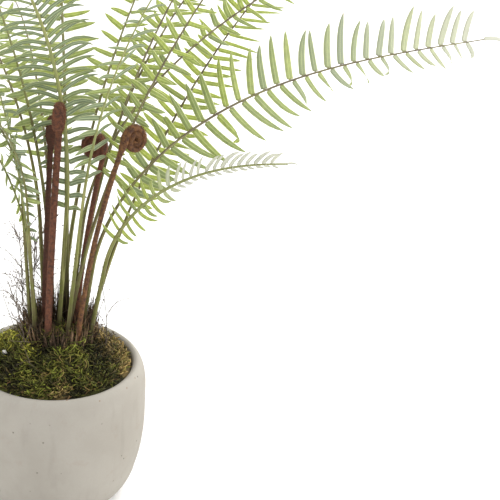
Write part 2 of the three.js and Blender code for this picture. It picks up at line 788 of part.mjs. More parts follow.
// The bottom of a hole lies a little below the foot of its stem.
function ringBelow(ring, stem) {
  const down = directionAt(stem, 0).multiplyScalar(-holeDepthBelow);
  return ring.map((corner) => corner.clone().add(down));
}

// ---- the whole plant ----

const fronds = rowsToRecords(frondColumns, frondRows);
const youngFronds = rowsToRecords(youngColumns, youngRows);
const twigs = rowsToRecords(twigColumns, twigRows);
for (const frond of fronds) frond.line = stemLine(frond, stemFoot);
for (const young of youngFronds) young.line = stemLine(young, stemFoot);
for (const twig of twigs) twig.line = stemLine(twig, twigFoot);

// Every stem is in place before the first leaflet, so that leaflets give way to stems.
const placed = [];
for (const frond of fronds) {
  for (let i = 0; i < pathSteps; i += 2) {
    const halves = stemHalves(frond, i / pathSteps);
    const half = Math.hypot(halves.side, halves.up);
    placed.push(lineShape(frond.line[i], frond.line[i + 2], half, frond.name));
  }
  const tip = frond.line.at(-1);
  const end = tip.clone().addScaledVector(directionAt(frond, 1), frond.leaflet * tipLeafletLength);
  placed.push(lineShape(tip, end, tipLeafletHalf, frond.name));
}
for (const young of youngFronds) {
  for (let i = 0; i < pathSteps; i += 4) {
    placed.push(lineShape(young.line[i], young.line[i + 4], youngStemHalf, young.name));
  }
  const curl = radians(young.coilHeading);
  const towards = new THREE.Vector3(Math.cos(curl), Math.sin(curl), 0);
  const middle = young.line.at(-1).clone().addScaledVector(towards, coilOuter);
  const head = coilOuter * coilTall + coilHalfAcross;
  const near = middle.clone().addScaledVector(towards, -head / 2);
  const far = middle.clone().addScaledVector(towards, head / 2);
  placed.push(lineShape(near, far, head, young.name));
}
for (const twig of twigs) {
  for (let i = 0; i < pathSteps; i += 6) {
    placed.push(lineShape(twig.line[i], twig.line[i + 6], twigHalf * twigGuard, twig.name));
  }
}

const plant = new THREE.Group();
plant.name = 'potted_fern';

function addNode(name, geometry, color, roughness) {
  const bare = geometry.index ? geometry.toNonIndexed() : geometry;
  bare.computeVertexNormals();
  const material = new THREE.MeshStandardMaterial({ color, roughness, metalness: 0 });
  const mesh = new THREE.Mesh(bare, material);
  mesh.name = name;
  plant.add(mesh);
}

const stemHoles = [...fronds.map(frondHole), ...youngFronds.map(youngHole)];
const crownSeat = solidOf(crownPrism(crown.foot, crown.peak + overshoot, clearance));

addNode('pot', potGeometry(), 0xd9d5ca, 0.9);
addNode('soil', soilGeometry(), 0x3b2c20, 1);
addNode('moss', geometryOf(mossSolid([crownSeat, ...twigs.map(twigHole)])), 0x6d7434, 1);
addNode('crown', geometryOf(crownSolid(stemHoles)), 0x41301f, 1);
for (const frond of fronds) {
  addNode(frond.name, frondGeometry(frond, placeLeaflets(frond, placed)), 0x7f9a5a, 0.6);
}
for (const young of youngFronds) {
  addNode(young.name, tubeThrough(youngRings(young, 0)), 0x6e3a26, 0.9);
}
for (const twig of twigs) {
  addNode(twig.name, geometryOf(twigSolid(twig)), 0x2f241c, 0.9);
}

export default plant;
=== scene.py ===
import bpy
import numpy as np
from mathutils import Matrix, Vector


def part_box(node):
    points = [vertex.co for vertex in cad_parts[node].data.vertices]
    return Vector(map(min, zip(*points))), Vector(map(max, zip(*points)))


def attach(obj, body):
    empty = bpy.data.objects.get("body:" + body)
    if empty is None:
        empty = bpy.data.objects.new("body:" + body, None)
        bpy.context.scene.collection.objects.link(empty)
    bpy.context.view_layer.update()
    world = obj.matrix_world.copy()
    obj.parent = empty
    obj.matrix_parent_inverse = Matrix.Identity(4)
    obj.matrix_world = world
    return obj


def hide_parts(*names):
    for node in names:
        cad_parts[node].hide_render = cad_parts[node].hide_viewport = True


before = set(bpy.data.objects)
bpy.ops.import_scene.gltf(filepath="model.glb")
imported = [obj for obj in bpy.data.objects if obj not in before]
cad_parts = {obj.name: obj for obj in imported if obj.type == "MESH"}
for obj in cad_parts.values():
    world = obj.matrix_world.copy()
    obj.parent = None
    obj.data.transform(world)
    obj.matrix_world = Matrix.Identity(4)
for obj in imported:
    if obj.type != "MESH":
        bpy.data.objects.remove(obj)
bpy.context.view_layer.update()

# A sword fern in a cement pot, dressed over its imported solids. Metres, Z up. The origin is the middle of
# the pot's foot, the longest frond hangs out towards +X, and +Y is the back.

view = {
    "elevation": 30.0,          # degrees above the level of the rim
    "distance": 1.5,            # from the camera to the middle of the rim
    "rimPixel": (55.0, 358.0),  # where that middle shows in the picture
    "pictureSize": 500.0,
    "focalPixels": 1500.0,
    "sensor": 36.0,             # mm
    "farthest": 30.0,
}

studio = {
    "floorHalf": 7.0,
    "floorDrop": 0.0003,        # how far the floor lies under the foot
    "floorColour": (0.95, 0.95, 0.95),
    "skyColour": (1.0, 1.0, 1.0),
    "skyStrength": 1.12,
    # name: place, size, watts, colour
    "lights": {
        "backLight": ((1.1, 1.5, 1.5), 1.0, 26.0, (1.0, 0.98, 0.94)),
        "rightLight": ((1.7, -0.3, 0.9), 1.2, 16.0, (1.0, 0.99, 0.97)),
        "leftLight": ((-1.7, -0.2, 1.0), 1.2, 9.5, (1.0, 1.0, 1.0)),
    },
    "lightTarget": (0.05, 0.0, 0.28),
}

upright = np.array([0.0, 0.0, 1.0])


def unit(vectors):
    # Each vector over its own length.
    return vectors / np.maximum(np.linalg.norm(vectors, axis=-1, keepdims=True), 1e-12)


def placeObject(name, data, place, axes):
    # The columns of axes are the object's own X, Y and Z in the room.
    whole = np.eye(4)
    whole[:3, :3] = axes
    whole[:3, 3] = place
    placed = bpy.data.objects.new(name, data)
    placed.matrix_world = Matrix(whole.tolist())
    bpy.context.collection.objects.link(placed)
    return placed


def threeWays(ray, level):
    # Two directions and their cross product, as columns.
    return np.stack([ray, level, np.cross(ray, level)], 1)


def placeCamera():
    # Two directions are known both in the room and in the camera: the ray to the rim's middle and the
    # picture's level line. The camera's turn takes one pair to the other.
    rise = np.radians(view["elevation"])
    rim = np.array([0.0, 0.0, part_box("pot")[1].z])
    place = rim + view["distance"] * np.array([0.0, -np.cos(rise), np.sin(rise)])
    across, down = (np.array(view["rimPixel"]) - view["pictureSize"] / 2) / view["focalPixels"]
    rayInCamera = unit(np.array([across, -down, -1.0]))
    levelInCamera = unit(np.cross(rayInCamera, np.array([0.0, 1.0, 0.0])))
    room = threeWays(unit(rim - place), np.array([1.0, 0.0, 0.0]))
    data = bpy.data.cameras.new("camera")
    data.sensor_width = view["sensor"]
    data.lens = view["sensor"] * view["focalPixels"] / view["pictureSize"]
    data.clip_end = view["farthest"]
    camera = placeObject("camera", data, place, room @ threeWays(rayInCamera, levelInCamera).T)
    bpy.context.scene.camera = camera
    print("camera placed")


def placeLights():
    # Square soft lights that all face one point above the pot, under an even white sky.
    world = bpy.data.worlds.new("studio")
    world.use_nodes = True
    sky = world.node_tree.nodes["Background"]
    sky.inputs["Color"].default_value = (*studio["skyColour"], 1.0)
    sky.inputs["Strength"].default_value = studio["skyStrength"]
    bpy.context.scene.world = world
    for name, (place, size, watts, colour) in studio["lights"].items():
        data = bpy.data.lights.new(name, "AREA")
        data.shape = "SQUARE"
        data.size = size
        data.energy = watts
        data.color = colour
        back = unit(np.array(place) - np.array(studio["lightTarget"]))
        right = unit(np.cross(upright, back))
        placeObject(name, data, place, np.stack([right, np.cross(back, right), back], 1))
    bpy.context.scene.view_settings.view_transform = "Standard"
    print("lights placed")


class Finish:
    # A material while it is made. Each call adds a node and gives its output, and each value is a number, a
    # colour or another node's output.

    def __init__(self, name):
        self.material = bpy.data.materials.new(name)
        self.material.use_nodes = True
        self.tree = self.material.node_tree
        self.shader = self.tree.nodes["Principled BSDF"]
        self.where = self.node("TexCoord").outputs["Object"]

    def join(self, socket, value):
        # An output is linked. A number or a colour is set on the socket itself.
        if isinstance(value, bpy.types.NodeSocket):
            self.tree.links.new(value, socket)
        else:
            socket.default_value = (*value, 1.0) if socket.type == "RGBA" else value

    def node(self, kind, sockets=None, **settings):
        made = self.tree.nodes.new("ShaderNode" + kind)
        for name, value in settings.items():
            setattr(made, name, value)
        for name, value in (sockets or {}).items():
            self.join(made.inputs[name], value)
        return made

    def trait(self, name):
        # One of the three numbers that every point of a piece carries.
        return self.node("Attribute", attribute_name=name).outputs["Fac"]

    def math(self, operation, first, second=0.0):
        return self.node("Math", {0: first, 1: second}, operation=operation).outputs[0]

    def times(self, first, second):
        return self.math("MULTIPLY", first, second)

    def plus(self, first, second):
        return self.math("ADD", first, second)

    def noise(self, scale, detail, roughness=0.55, where=None):
        place = self.where if where is None else where
        sockets = {"Vector": place, "Scale": scale, "Detail": detail, "Roughness": roughness}
        return self.node("TexNoise", sockets).outputs["Fac"]

    def cells(self, scale):
        # The distance to the middle of the nearest cell.
        return self.node("TexVoronoi", {"Vector": self.where, "Scale": scale}).outputs["Distance"]

    def between(self, value, low, high):
        # The value's place between low and high, as a smooth share from 0 to 1.
        sockets = {"Value": value, "From Min": low, "From Max": high}
        return self.node("MapRange", sockets, interpolation_type="SMOOTHSTEP").outputs["Result"]

    def layer(self, under, over, share, amount=1.0, how="MIX"):
        # One colour over another, as strong as the share times the amount.
        strength = share if amount == 1.0 else self.times(share, amount)
        sockets = {0: strength, 6: under, 7: over}
        return self.node("Mix", sockets, data_type="RGBA", blend_type=how).outputs[2]

    def bump(self, height, strength, distance):
        sockets = {"Height": height, "Strength": strength, "Distance": distance}
        return self.node("Bump", sockets).outputs["Normal"]

    def surface(self, sockets):
        for name, value in sockets.items():
            self.join(self.shader.inputs[name], value)
        return self.material


def fullTurn(count):
    # Evenly spaced angles, once round.
    return np.arange(count) / count * 2 * np.pi


def fromAxis(radius, angle, height):
    # The point at a radius and angle about Z, and at a height.
    return np.stack([radius * np.cos(angle), radius * np.sin(angle), height], -1)


def pointing(lean, heading):
    # The direction that leans so far from the vertical, towards the heading.
    return np.stack([np.sin(lean) * np.cos(heading), np.sin(lean) * np.sin(heading), np.cos(lean)], -1)


def turned(first, second, angle):
    # The first direction times the cosine, and the second times the sine.
    return first * np.cos(angle)[..., None] + second * np.sin(angle)[..., None]


def walk(roots, directions, lengths):
    # A line from each root: its points are the sums of even steps, each in its own direction.
    steps = directions * (lengths / directions.shape[1])[:, None, None]
    start = np.zeros((len(roots), 1, 3))
    return roots[:, None] + np.concatenate([start, np.cumsum(steps, 1)], 1)


def straightLines(roots, reach, stations):
    # From each root, the points at the given shares of its reach.
    return roots[:, None] + reach[:, None] * np.array(stations)[:, None]


def framesAlong(lines, hint):
    # Along is the line's own direction, side is the hint made square to it, and up is along times side.
    along = unit(np.gradient(lines, axis=-2))
    side = unit(hint - along * (hint * along).sum(-1, keepdims=True))
    return along, side, np.cross(along, side)


def ringsRound(centres, side, up, halfSide, halfUp, corners):
    # A ring stands round each centre: side times the cosine and up times the sine of evenly spaced angles.
    wide = (side * halfSide[..., None])[..., None, :]
    tall = (up * halfUp[..., None])[..., None, :]
    return centres[..., None, :] + turned(wide, tall, fullTurn(corners))


def anySide(draws, count):
    # A direction drawn at random for each tube.
    return unit(draws.normal(size=(count, 1, 3)))


def roundTubes(lines, halves, corners, draws):
    # Round tubes, each with its first corner on a side drawn at random.
    _, side, up = framesAlong(lines, anySide(draws, len(lines)))
    return ringsRound(lines, side, up, halves, halves, corners)


def flatStrips(lines, hint, halfWide, halfThick):
    # Strips with a flat diamond section, which lie along the hint.
    _, side, up = framesAlong(lines, hint)
    return ringsRound(lines, side, up, halfWide, np.full_like(halfWide, halfThick), 4)


def wallsBetween(index):
    # Four-cornered faces from each ring of point numbers to the next, the last corner joined to the first.
    onwards = np.roll(index, -1, axis=-1)
    walls = [index[..., :-1, :], onwards[..., :-1, :], onwards[..., 1:, :], index[..., 1:, :]]
    return np.stack(walls, -1).reshape(-1, 4)


def byTube(values):
    # One value for each tube, ready to spread over its stations and corners.
    return values[:, None, None]


def traitsOf(shape, along=0.0, across=0.0, tone=0.0):
    # Three numbers for each point, spread out to the given shape.
    return np.stack([np.broadcast_to(value, shape).reshape(-1) for value in (along, across, tone)], 1)


def tubePart(rings, along=0.0, across=0.0, tone=0.0, number=0):
    # rings is tubes x stations x corners x 3, counter-clockwise about each tube. Walls join each ring to
    # the next, and a fan closes each end. The number is the material's.
    index = np.arange(rings[..., 0].size).reshape(rings.shape[:3])
    low, high = index[:, 0], index[:, -1]
    hub = np.ones_like(low[:, 2:])
    lowFan = np.stack([hub * low[:, :1], low[:, 2:], low[:, 1:-1]], -1).reshape(-1, 3)
    highFan = np.stack([hub * high[:, :1], high[:, 1:-1], high[:, 2:]], -1).reshape(-1, 3)
    faces = [wallsBetween(index), np.concatenate([lowFan, highFan])]
    return rings.reshape(-1, 3), faces, traitsOf(rings.shape[:3], along, across, tone), number


def addPiece(name, parts, materials, node):
    # Each part is its points, its groups of faces, its traits and its material's number. The parts are
    # laid end to end in one mesh, which replaces the node.
    points, traits, corners, sizes, numbers = [], [], [], [], []
    first = 0
    for partPoints, groups, partTraits, number in parts:
        points.append(partPoints)
        traits.append(partTraits)
        for faces in groups:
            corners.append((faces + first).reshape(-1))
            sizes.append(np.full(len(faces), faces.shape[1]))
            numbers.append(np.full(len(faces), number))
        first += len(partPoints)
    points, traits, corners, sizes, numbers = map(np.concatenate, (points, traits, corners, sizes, numbers))
    mesh = bpy.data.meshes.new(name)
    mesh.vertices.add(len(points))
    mesh.vertices.foreach_set("co", points.astype(np.float32).reshape(-1))
    mesh.loops.add(len(corners))
    mesh.loops.foreach_set("vertex_index", corners.astype(np.int32))
    mesh.polygons.add(len(sizes))
    mesh.polygons.foreach_set("loop_start", (np.cumsum(sizes) - sizes).astype(np.int32))
    mesh.polygons.foreach_set("material_index", numbers.astype(np.int32))
    mesh.polygons.foreach_set("use_smooth", np.ones(len(sizes), bool))
    for column, trait in enumerate(("along", "across", "tone")):
        layer = mesh.attributes.new(trait, "FLOAT", "POINT")
        layer.data.foreach_set("value", traits[:, column].astype(np.float32))
    mesh.update(calc_edges=True)
    for material in materials:
        mesh.materials.append(material)
    piece = bpy.data.objects.new(name, mesh)
    bpy.context.collection.objects.link(piece)
    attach(piece, "root")
    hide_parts(node)


stemFoot = 0.152                # the height at which every frond's stem starts, inside the crown
pathSteps = 60


def directionAt(stem, shares):
    # The lean eases from its low to its high value once the arch has started: high minus (high minus low)
    # times (1 minus the share of the arch that is past) to the power of its ease.
    start = stem.get("archStart", 0.0)
    past = np.clip((shares - start) / (1 - start), 0, 1)
    eased = 1 - (1 - past) ** stem.get("archEase", 1.0)
    lean = np.radians(stem["leanLow"] + (stem["leanHigh"] - stem["leanLow"]) * eased)
    return pointing(lean, np.radians(stem["heading"]))


def pointsAt(stem, foot, shares):
    # The line is the sum of short steps, each in the direction at its middle.
    directions = directionAt(stem, (np.arange(pathSteps) + 0.5) / pathSteps)
    line = walk(np.array([[stem["x"], stem["y"], foot]]), directions[None], np.array([stem["length"]]))[0]
    grid = np.arange(pathSteps + 1) / pathSteps
    return np.stack([np.interp(shares, grid, line[:, axis]) for axis in range(3)], -1)


def framesAt(stem, shares):
    # The side lies level and square to the stem, then turns about it by the frond's roll.
    along = directionAt(stem, shares)
    heading = np.radians(stem["heading"])
    level = np.array([-np.sin(heading), np.cos(heading), 0.0]) * np.ones_like(along)
    side = turned(level, np.cross(along, level), np.radians(stem.get("roll", 0.0)))
    return along, side, np.cross(along, side)


pot = {
    "height": 0.145,
    "footRadius": 0.058,
    "bellyRadius": 0.0905,
    "bellyLow": 0.090,
    "bellyHigh": 0.118,
    "rimRadius": 0.081,
    "lipDrop": 0.004,
    "mouthRadius": 0.0765,
    "cavityFloor": 0.014,
    "cavityRadius": 0.070,
    "cavityCorner": 0.026,
    "segments": 160,
    "waver": 0.00025,           # how far the hand-cast wall strays
    "cement": (0.330, 0.306, 0.264),
    "cementPale": (0.370, 0.346, 0.303),
    "cementDark": (0.240, 0.218, 0.186),
    # painted light: the lip's top is painted paler, as if lit
    "lipPaintedLight": (0.520, 0.500, 0.450),
    "lipLightFrom": (0.1360, 0.1445),  # the heights over which the wall turns paler
    "stainColour": (0.23, 0.13, 0.075),
    # where stains and pits lie: x, y, z and size
    "stains": ((0.0112, -0.0792, 0.1450, 0.0016), (0.0424, -0.0749, 0.1407, 0.0012),
               (0.0689, -0.0516, 0.1407, 0.0013), (0.0774, -0.0355, 0.1422, 0.0013)),
    "pits": ((-0.0113, -0.0898, 0.1043, 0.0013), (-0.0171, -0.0879, 0.0691, 0.0011),
             (0.0392, -0.0811, 0.0771, 0.0009), (-0.0233, -0.0872, 0.1240, 0.0008)),
}


def quarterOval(start, end, steps, levelFirst):
    # A quarter of an ellipse from one profile point to the next, without the first. It sets off level and
    # arrives upright, or the other way round: one share grows as the sine, the other as one minus the
    # cosine.
    turn = np.linspace(0, np.pi / 2, steps + 1)[1:]
    shares = [np.sin(turn), 1 - np.cos(turn)]
    if not levelFirst:
        shares.reverse()
    return np.array(start) + (np.array(end) - np.array(start)) * np.stack(shares, 1)


def straight(start, end, steps):
    # Evenly spaced points up to the end, without the first.
    return np.linspace(start, end, steps + 1)[1:]


def potProfile():
    # Outside: a quarter of an ellipse up to the belly, an upright band, a quarter of an ellipse in to the
    # rim, and a small one over the lip. Inside: a straight wall and a rounded corner. Each point is
    # radius, height.
    foot = (pot["footRadius"], 0.0)
    bellyLow = (pot["bellyRadius"], pot["bellyLow"])
    bellyHigh = (pot["bellyRadius"], pot["bellyHigh"])
    rim = (pot["rimRadius"], pot["height"])
    mouth = (pot["mouthRadius"], pot["height"] - pot["lipDrop"])
    wallFoot = (pot["cavityRadius"], pot["cavityFloor"] + pot["cavityCorner"])
    floorEdge = (pot["cavityRadius"] - pot["cavityCorner"], pot["cavityFloor"])
    return np.concatenate([
        np.array([[0.0, 0.0], [0.5 * foot[0], 0.0], [0.97 * foot[0], 0.0]]),  # the flat underside
        quarterOval(foot, bellyLow, 22, True),
        straight(bellyLow, bellyHigh, 4),
        quarterOval(bellyHigh, rim, 14, False),
        quarterOval(rim, mouth, 8, True),
        straight(mouth, wallFoot, 8),
        quarterOval(wallFoot, floorEdge, 8, False),
        np.array([[0.0, pot["cavityFloor"]]]),
    ])


def cavityRadiusAt(height):
    # The cavity's straight wall widens evenly from its foot to the mouth.
    low = pot["cavityFloor"] + pot["cavityCorner"]
    high = pot["height"] - pot["lipDrop"]
    return pot["cavityRadius"] + (pot["mouthRadius"] - pot["cavityRadius"]) * (height - low) / (high - low)


def buildPot():
    # The profile turned about Z. Its first and last points lie on the axis, where one point closes each
    # pole.
    profile = potProfile()
    angles = fullTurn(pot["segments"])
    radius = profile[1:-1, :1] * np.ones(len(angles))
    height = profile[1:-1, 1:] * np.ones(len(angles))
    # two waves, whose highest sum is 1.6, so that the outer wall strays inwards only
    waver = np.sin(3 * angles + 20 * height) + 0.6 * np.sin(5 * angles + 1.3 - 33 * height)
    radius = radius + pot["waver"] * (waver - 1.6) * (radius > pot["rimRadius"])
    rings = fromAxis(radius, angles, height)
    index = np.arange(radius.size).reshape(radius.shape)
    onwards = np.roll(index, -1, axis=1)
    hub = np.full(len(angles), radius.size)
    base = np.stack([hub, onwards[0], index[0]], -1)
    inside = np.stack([hub + 1, index[-1], onwards[-1]], -1)
    poles = profile[[0, -1], 1:] * upright
    points = np.concatenate([rings.reshape(-1, 3), poles])
    faces = [wallsBetween(index), np.concatenate([base, inside])]
    part = (points, faces, traitsOf(len(points)), 0)
    addPiece("cement_pot", [part], [cementMaterial()], "pot")
    print("pot built")


def spotMask(finish, wander, spots):
    # The nearest spot wins: the distance to its middle, made uneven by noise, over its own size.
    mask = 0.0
    for x, y, z, size in spots:
        sockets = {0: finish.where, 1: (x, y, z)}
        far = finish.node("VectorMath", sockets, operation="DISTANCE").outputs["Value"]
        far = finish.plus(far, finish.times(wander, size * 1.4))
        mask = finish.math("MAXIMUM", mask, finish.between(far, size * 1.7, size * 0.9))
    return mask


def cementMaterial():
    # Pale grey-beige cement: broad mottling, faint upright streaks, soft brown smudges, fine grain, tiny pits
    # with painted shade in them, a few brown stains, and a paler band of painted light over the lip's top.
    cement = Finish("cement")
    broad = cement.noise(16.0, 4.0)
    stretched = cement.node("Mapping", {"Vector": cement.where, "Scale": (1.0, 1.0, 0.22)}).outputs[0]
    streaks = cement.noise(75.0, 4.0, where=stretched)
    grain = cement.noise(900.0, 2.0)
    wander = cement.noise(420.0, 2.0)
    smudges = cement.between(cement.noise(42.0, 5.0, 0.7), 0.56, 0.74)
    chosen = cement.between(cement.noise(60.0, 1.0), 0.60, 0.68)
    holes = cement.times(cement.between(cement.cells(130.0), 0.16, 0.07), chosen)
    pits = cement.math("MAXIMUM", holes, spotMask(cement, wander, pot["pits"]))
    stains = spotMask(cement, wander, pot["stains"])
    lip = cement.between(cement.node("SeparateXYZ", {0: cement.where}).outputs["Z"], *pot["lipLightFrom"])
    colour = cement.layer(pot["cement"], pot["cementPale"], cement.between(broad, 0.35, 0.68))
    colour = cement.layer(colour, pot["cementDark"], cement.between(streaks, 0.52, 0.75), 0.22)
    # painted light: the paler band over the lip's top
    colour = cement.layer(colour, pot["lipPaintedLight"], lip, 0.15)
    colour = cement.layer(colour, pot["cementDark"], grain, 0.16)
    colour = cement.layer(colour, pot["stainColour"], smudges, 0.14)
    colour = cement.layer(colour, pot["cementDark"], wander, 0.14)
    # painted shade: the pits are darkened
    colour = cement.layer(colour, pot["cementDark"], pits, 0.75, "MULTIPLY")
    colour = cement.layer(colour, pot["stainColour"], stains, 0.8)
    height = cement.plus(cement.times(broad, 0.5), cement.times(grain, 0.06))
    height = cement.math("SUBTRACT", height, cement.times(pits, 0.5))
    return cement.surface({
        "Base Color": colour,
        "Roughness": cement.plus(cement.times(streaks, 0.15), 0.72),
        "Specular IOR Level": 0.3,
        "Normal": cement.bump(height, 0.6, 0.0012),
    })


soil = {"dark": (0.022, 0.014, 0.009), "pale": (0.10, 0.065, 0.040)}


def dressSoil():
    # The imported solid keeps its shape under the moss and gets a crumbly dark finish.
    mix = Finish("soil")
    crumbs = mix.cells(260.0)
    share = mix.times(mix.between(mix.noise(90.0, 4.0), 0.4, 0.7), crumbs)
    material = mix.surface({
        "Base Color": mix.layer(soil["dark"], soil["pale"], share),
        "Roughness": 0.95,
        "Normal": mix.bump(crumbs, 1.0, 0.002),
    })
    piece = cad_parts["soil"]
    piece.data.materials.clear()
    piece.data.materials.append(material)
    print("soil dressed")


moss = {
    "edge": 0.136,              # heights
    "peak": 0.176,
    "low": 0.1264,
    "fall": 1.6,                # the power by which it falls away from the peak
    "gap": 0.0008,              # between it and the wall
    "lump": 0.0050,
    "lumpPitch": 0.027,
    "rings": 34,
    "segments": 120,
    "wallRise": 0.0045,         # how much higher it lies at the wall in front than at the back
    "strands": {"count": 4600, "stations": 7, "length": (0.009, 0.021), "half": (0.00040, 0.00074)},
    "sprigs": {"count": 6600, "stations": 5, "length": (0.006, 0.013), "half": (0.00018, 0.00036)},
    "lean": (30, 70),           # degrees from the vertical at a strand's root
    "curl": (0, 60),            # degrees that it leans more at its tip
    "swirl": (140, 380),        # degrees that its heading turns
    "wallBand": 0.011,          # strands this near the wall lean inwards
    "creep": -0.007,            # in front of this y, strands also grow over the crown
    "scraps": 22,
    "scrapTurn": (-75, 45),     # degrees: the middle and spread of their places round the wall
    "scrapLength": (0.004, 0.011),
    "scrapHalf": (0.0004, 0.0009),
    "scrapBow": (0.0005, 0.0018),
    "scrapOutline": (0.3, 1.0, 0.8, 0.9, 0.2),
    "scrapHalfThick": 0.00018,
    "chip": (-0.0485, -0.018, 0.0024),  # x, y and half its size
    "chipLift": 0.007,          # over the mound, so that it shows among the strands
    "seed": 5,
    # where each tint lies: middle x, y and reach
    "goldPatches": ((0.054, 0.006, 0.024), (0.068, -0.020, 0.013), (0.040, 0.030, 0.020),
                    (0.004, -0.071, 0.008)),
    "limePatches": ((-0.058, 0.016, 0.026), (-0.020, -0.018, 0.010)),
    "darkPatches": ((0.040, -0.024, 0.014), (-0.052, -0.034, 0.016), (-0.008, -0.030, 0.012),
                    (0.052, -0.048, 0.012)),
    "green": (0.120, 0.130, 0.020),
    "bright": (0.270, 0.300, 0.045),
    "lime": (0.620, 0.590, 0.090),
    "olive": (0.270, 0.180, 0.062),
    "gold": (0.520, 0.370, 0.140),
    "rust": (0.215, 0.125, 0.055),
    "dark": (0.020, 0.018, 0.009),
    "chipColour": (0.80, 0.78, 0.73),
}


def mossLumps(radius, angle):
    # Two sets of crossed waves, each bent by the other: between minus one in a gap and one on a lump.
    x = radius * np.cos(angle)
    y = radius * np.sin(angle)
    pitch = 2 * np.pi / moss["lumpPitch"]
    first = np.sin(pitch * x + 1.7 * np.sin(pitch * 0.6 * y))
    return first * np.cos(pitch * 0.9 * y + 1.1 + 1.4 * np.sin(pitch * 0.5 * x))


def mossHeight(radius, angle):
    # A dome that falls from its peak to the wall as one minus a power of the radius's share, with lumps.
    share = radius / cavityRadiusAt(moss["edge"])
    dome = moss["peak"] + (moss["edge"] - moss["peak"]) * share ** moss["fall"]
    dome = dome + moss["wallRise"] * np.clip(0.6 - 1.2 * np.sin(angle), 0, 1) * share ** 4
    return dome + moss["lump"] * mossLumps(radius, angle) * (1.1 - share)


def patchShare(x, y, patches):
    # One inside a patch, falling to nought at 1.4 times its reach; the nearest patch counts.
    shares = [np.clip(2.4 * (1.4 - np.hypot(x - px, y - py) / reach), 0, 1) for px, py, reach in patches]
    return np.max(shares, 0)


def mossTone(x, y, random):
    # Below one the tone goes from lime through green to gold. It follows the patches, loosened by a draw.
    gold = patchShare(x, y, moss["goldPatches"])
    lime = patchShare(x, y, moss["limePatches"])
    return np.clip(0.42 + 0.45 * gold - 0.36 * lime + 0.42 * (random - 0.5), 0.02, 0.98)


def mossPaintedLight(x, y, lumps):
    # Painted shade: how far the light gets, less in the gaps between lumps and in the dark patches.
    opening = 0.25 + 0.75 * np.clip(lumps * 0.7 + 0.55, 0, 1)
    return opening * (1 - 0.5 * patchShare(x, y, moss["darkPatches"]))


def mossMound(edge):
    # A floor at the low height, then the wall, then rings of the dome from the wall in to its middle.
    angles = fullTurn(moss["segments"])
    radius = edge * np.linspace(1, 0.01, moss["rings"])[:, None] * np.ones(len(angles))
    height = mossHeight(radius, angles)
    low = np.array([[edge * 0.01], [edge - 0.0006]]) * np.ones(len(angles))
    radius = np.concatenate([low, radius])
    height = np.concatenate([np.full_like(low, moss["low"]), height])
    rings = fromAxis(radius, angles, height)[None]
    x, y = rings[..., 0], rings[..., 1]
    # painted shade: the mound under the strands is darker still
    return tubePart(rings, 0.35 * mossPaintedLight(x, y, mossLumps(radius, angles)), 0.5, mossTone(x, y, 0.5))


def mossRoots(edge, draws, count):
    # Places drawn evenly over the mound; those that the crown hides, behind the creep line, are left out.
    far = (edge - 0.001) * np.sqrt(draws.uniform(0.0, 1.0, 2 * count))
    turn = draws.uniform(0, 2 * np.pi, len(far))
    x, y = far * np.cos(turn), far * np.sin(turn)
    oval = np.hypot((x - crown["x"]) / crown["halfLength"], (y - crown["y"]) / crown["halfWidth"])
    line = moss["creep"] + 0.004 * np.sin(220 * x)
    kept = np.flatnonzero((oval > 0.97) | (y < line))[:count]
    height = np.maximum(mossHeight(far, turn), np.where(oval < 1, crownTop(oval), 0)) - 0.001
    return far[kept], turn[kept], np.stack([x, y, height], -1)[kept]


def mossStrands(edge, draws, kind):
    # Each strand starts on the mound, leans away and curls, its heading turning as it goes. Strands that
    # grow near each other share most of their heading. Near the wall they lean inwards and are shorter,
    # and shortest at the back.
    count = kind["count"]
    far, turn, roots = mossRoots(edge, draws, count)
    x, y = roots[:, 0], roots[:, 1]
    shorter = 0.15 + 0.55 * np.clip((y - 0.015) / 0.03, 0, 1)
    lengths = draws.uniform(*kind["length"], count) * (1 - shorter * (far / edge) ** 3)
    halves = draws.uniform(*kind["half"], count)
    heading = 3.1 * np.sin(95 * x + 2.0) + 3.1 * np.cos(88 * y - 60 * x) + draws.normal(0, 0.9, count)
    inwards = turn + np.pi + draws.uniform(-1.2, 1.2, count)
    heading = np.where(far > edge - moss["wallBand"], inwards, heading)
    lean = np.radians(draws.uniform(*moss["lean"], count))
    curl = np.radians(draws.uniform(*moss["curl"], count))
    swirl = np.radians(draws.uniform(*moss["swirl"], count) * draws.choice([-1, 1], count))
    stations = np.linspace(0, 1, kind["stations"])
    ways = pointing(lean[:, None] + curl[:, None] * stations, heading[:, None] + swirl[:, None] * stations)
    # the strand's small leaves make it thicker at every other station
    knots = 0.88 - 0.16 * np.cos(np.pi * np.arange(len(stations)))
    knots[-1] = 0.15
    rings = roundTubes(walk(roots, ways[:, :-1], lengths), halves[:, None] * knots, 3, draws)
    light = mossPaintedLight(x, y, mossLumps(far, turn)) * draws.uniform(0.55, 1.15, count)
    tone = mossTone(x, y, draws.uniform(-0.1, 1.1, count))
    # painted shade and highlight: each strand darker at its root than at its tip
    light = byTube(light) * (0.2 + 0.8 * stations[:, None])
    return tubePart(rings, light, byTube(draws.uniform(0, 1, count)), byTube(tone))


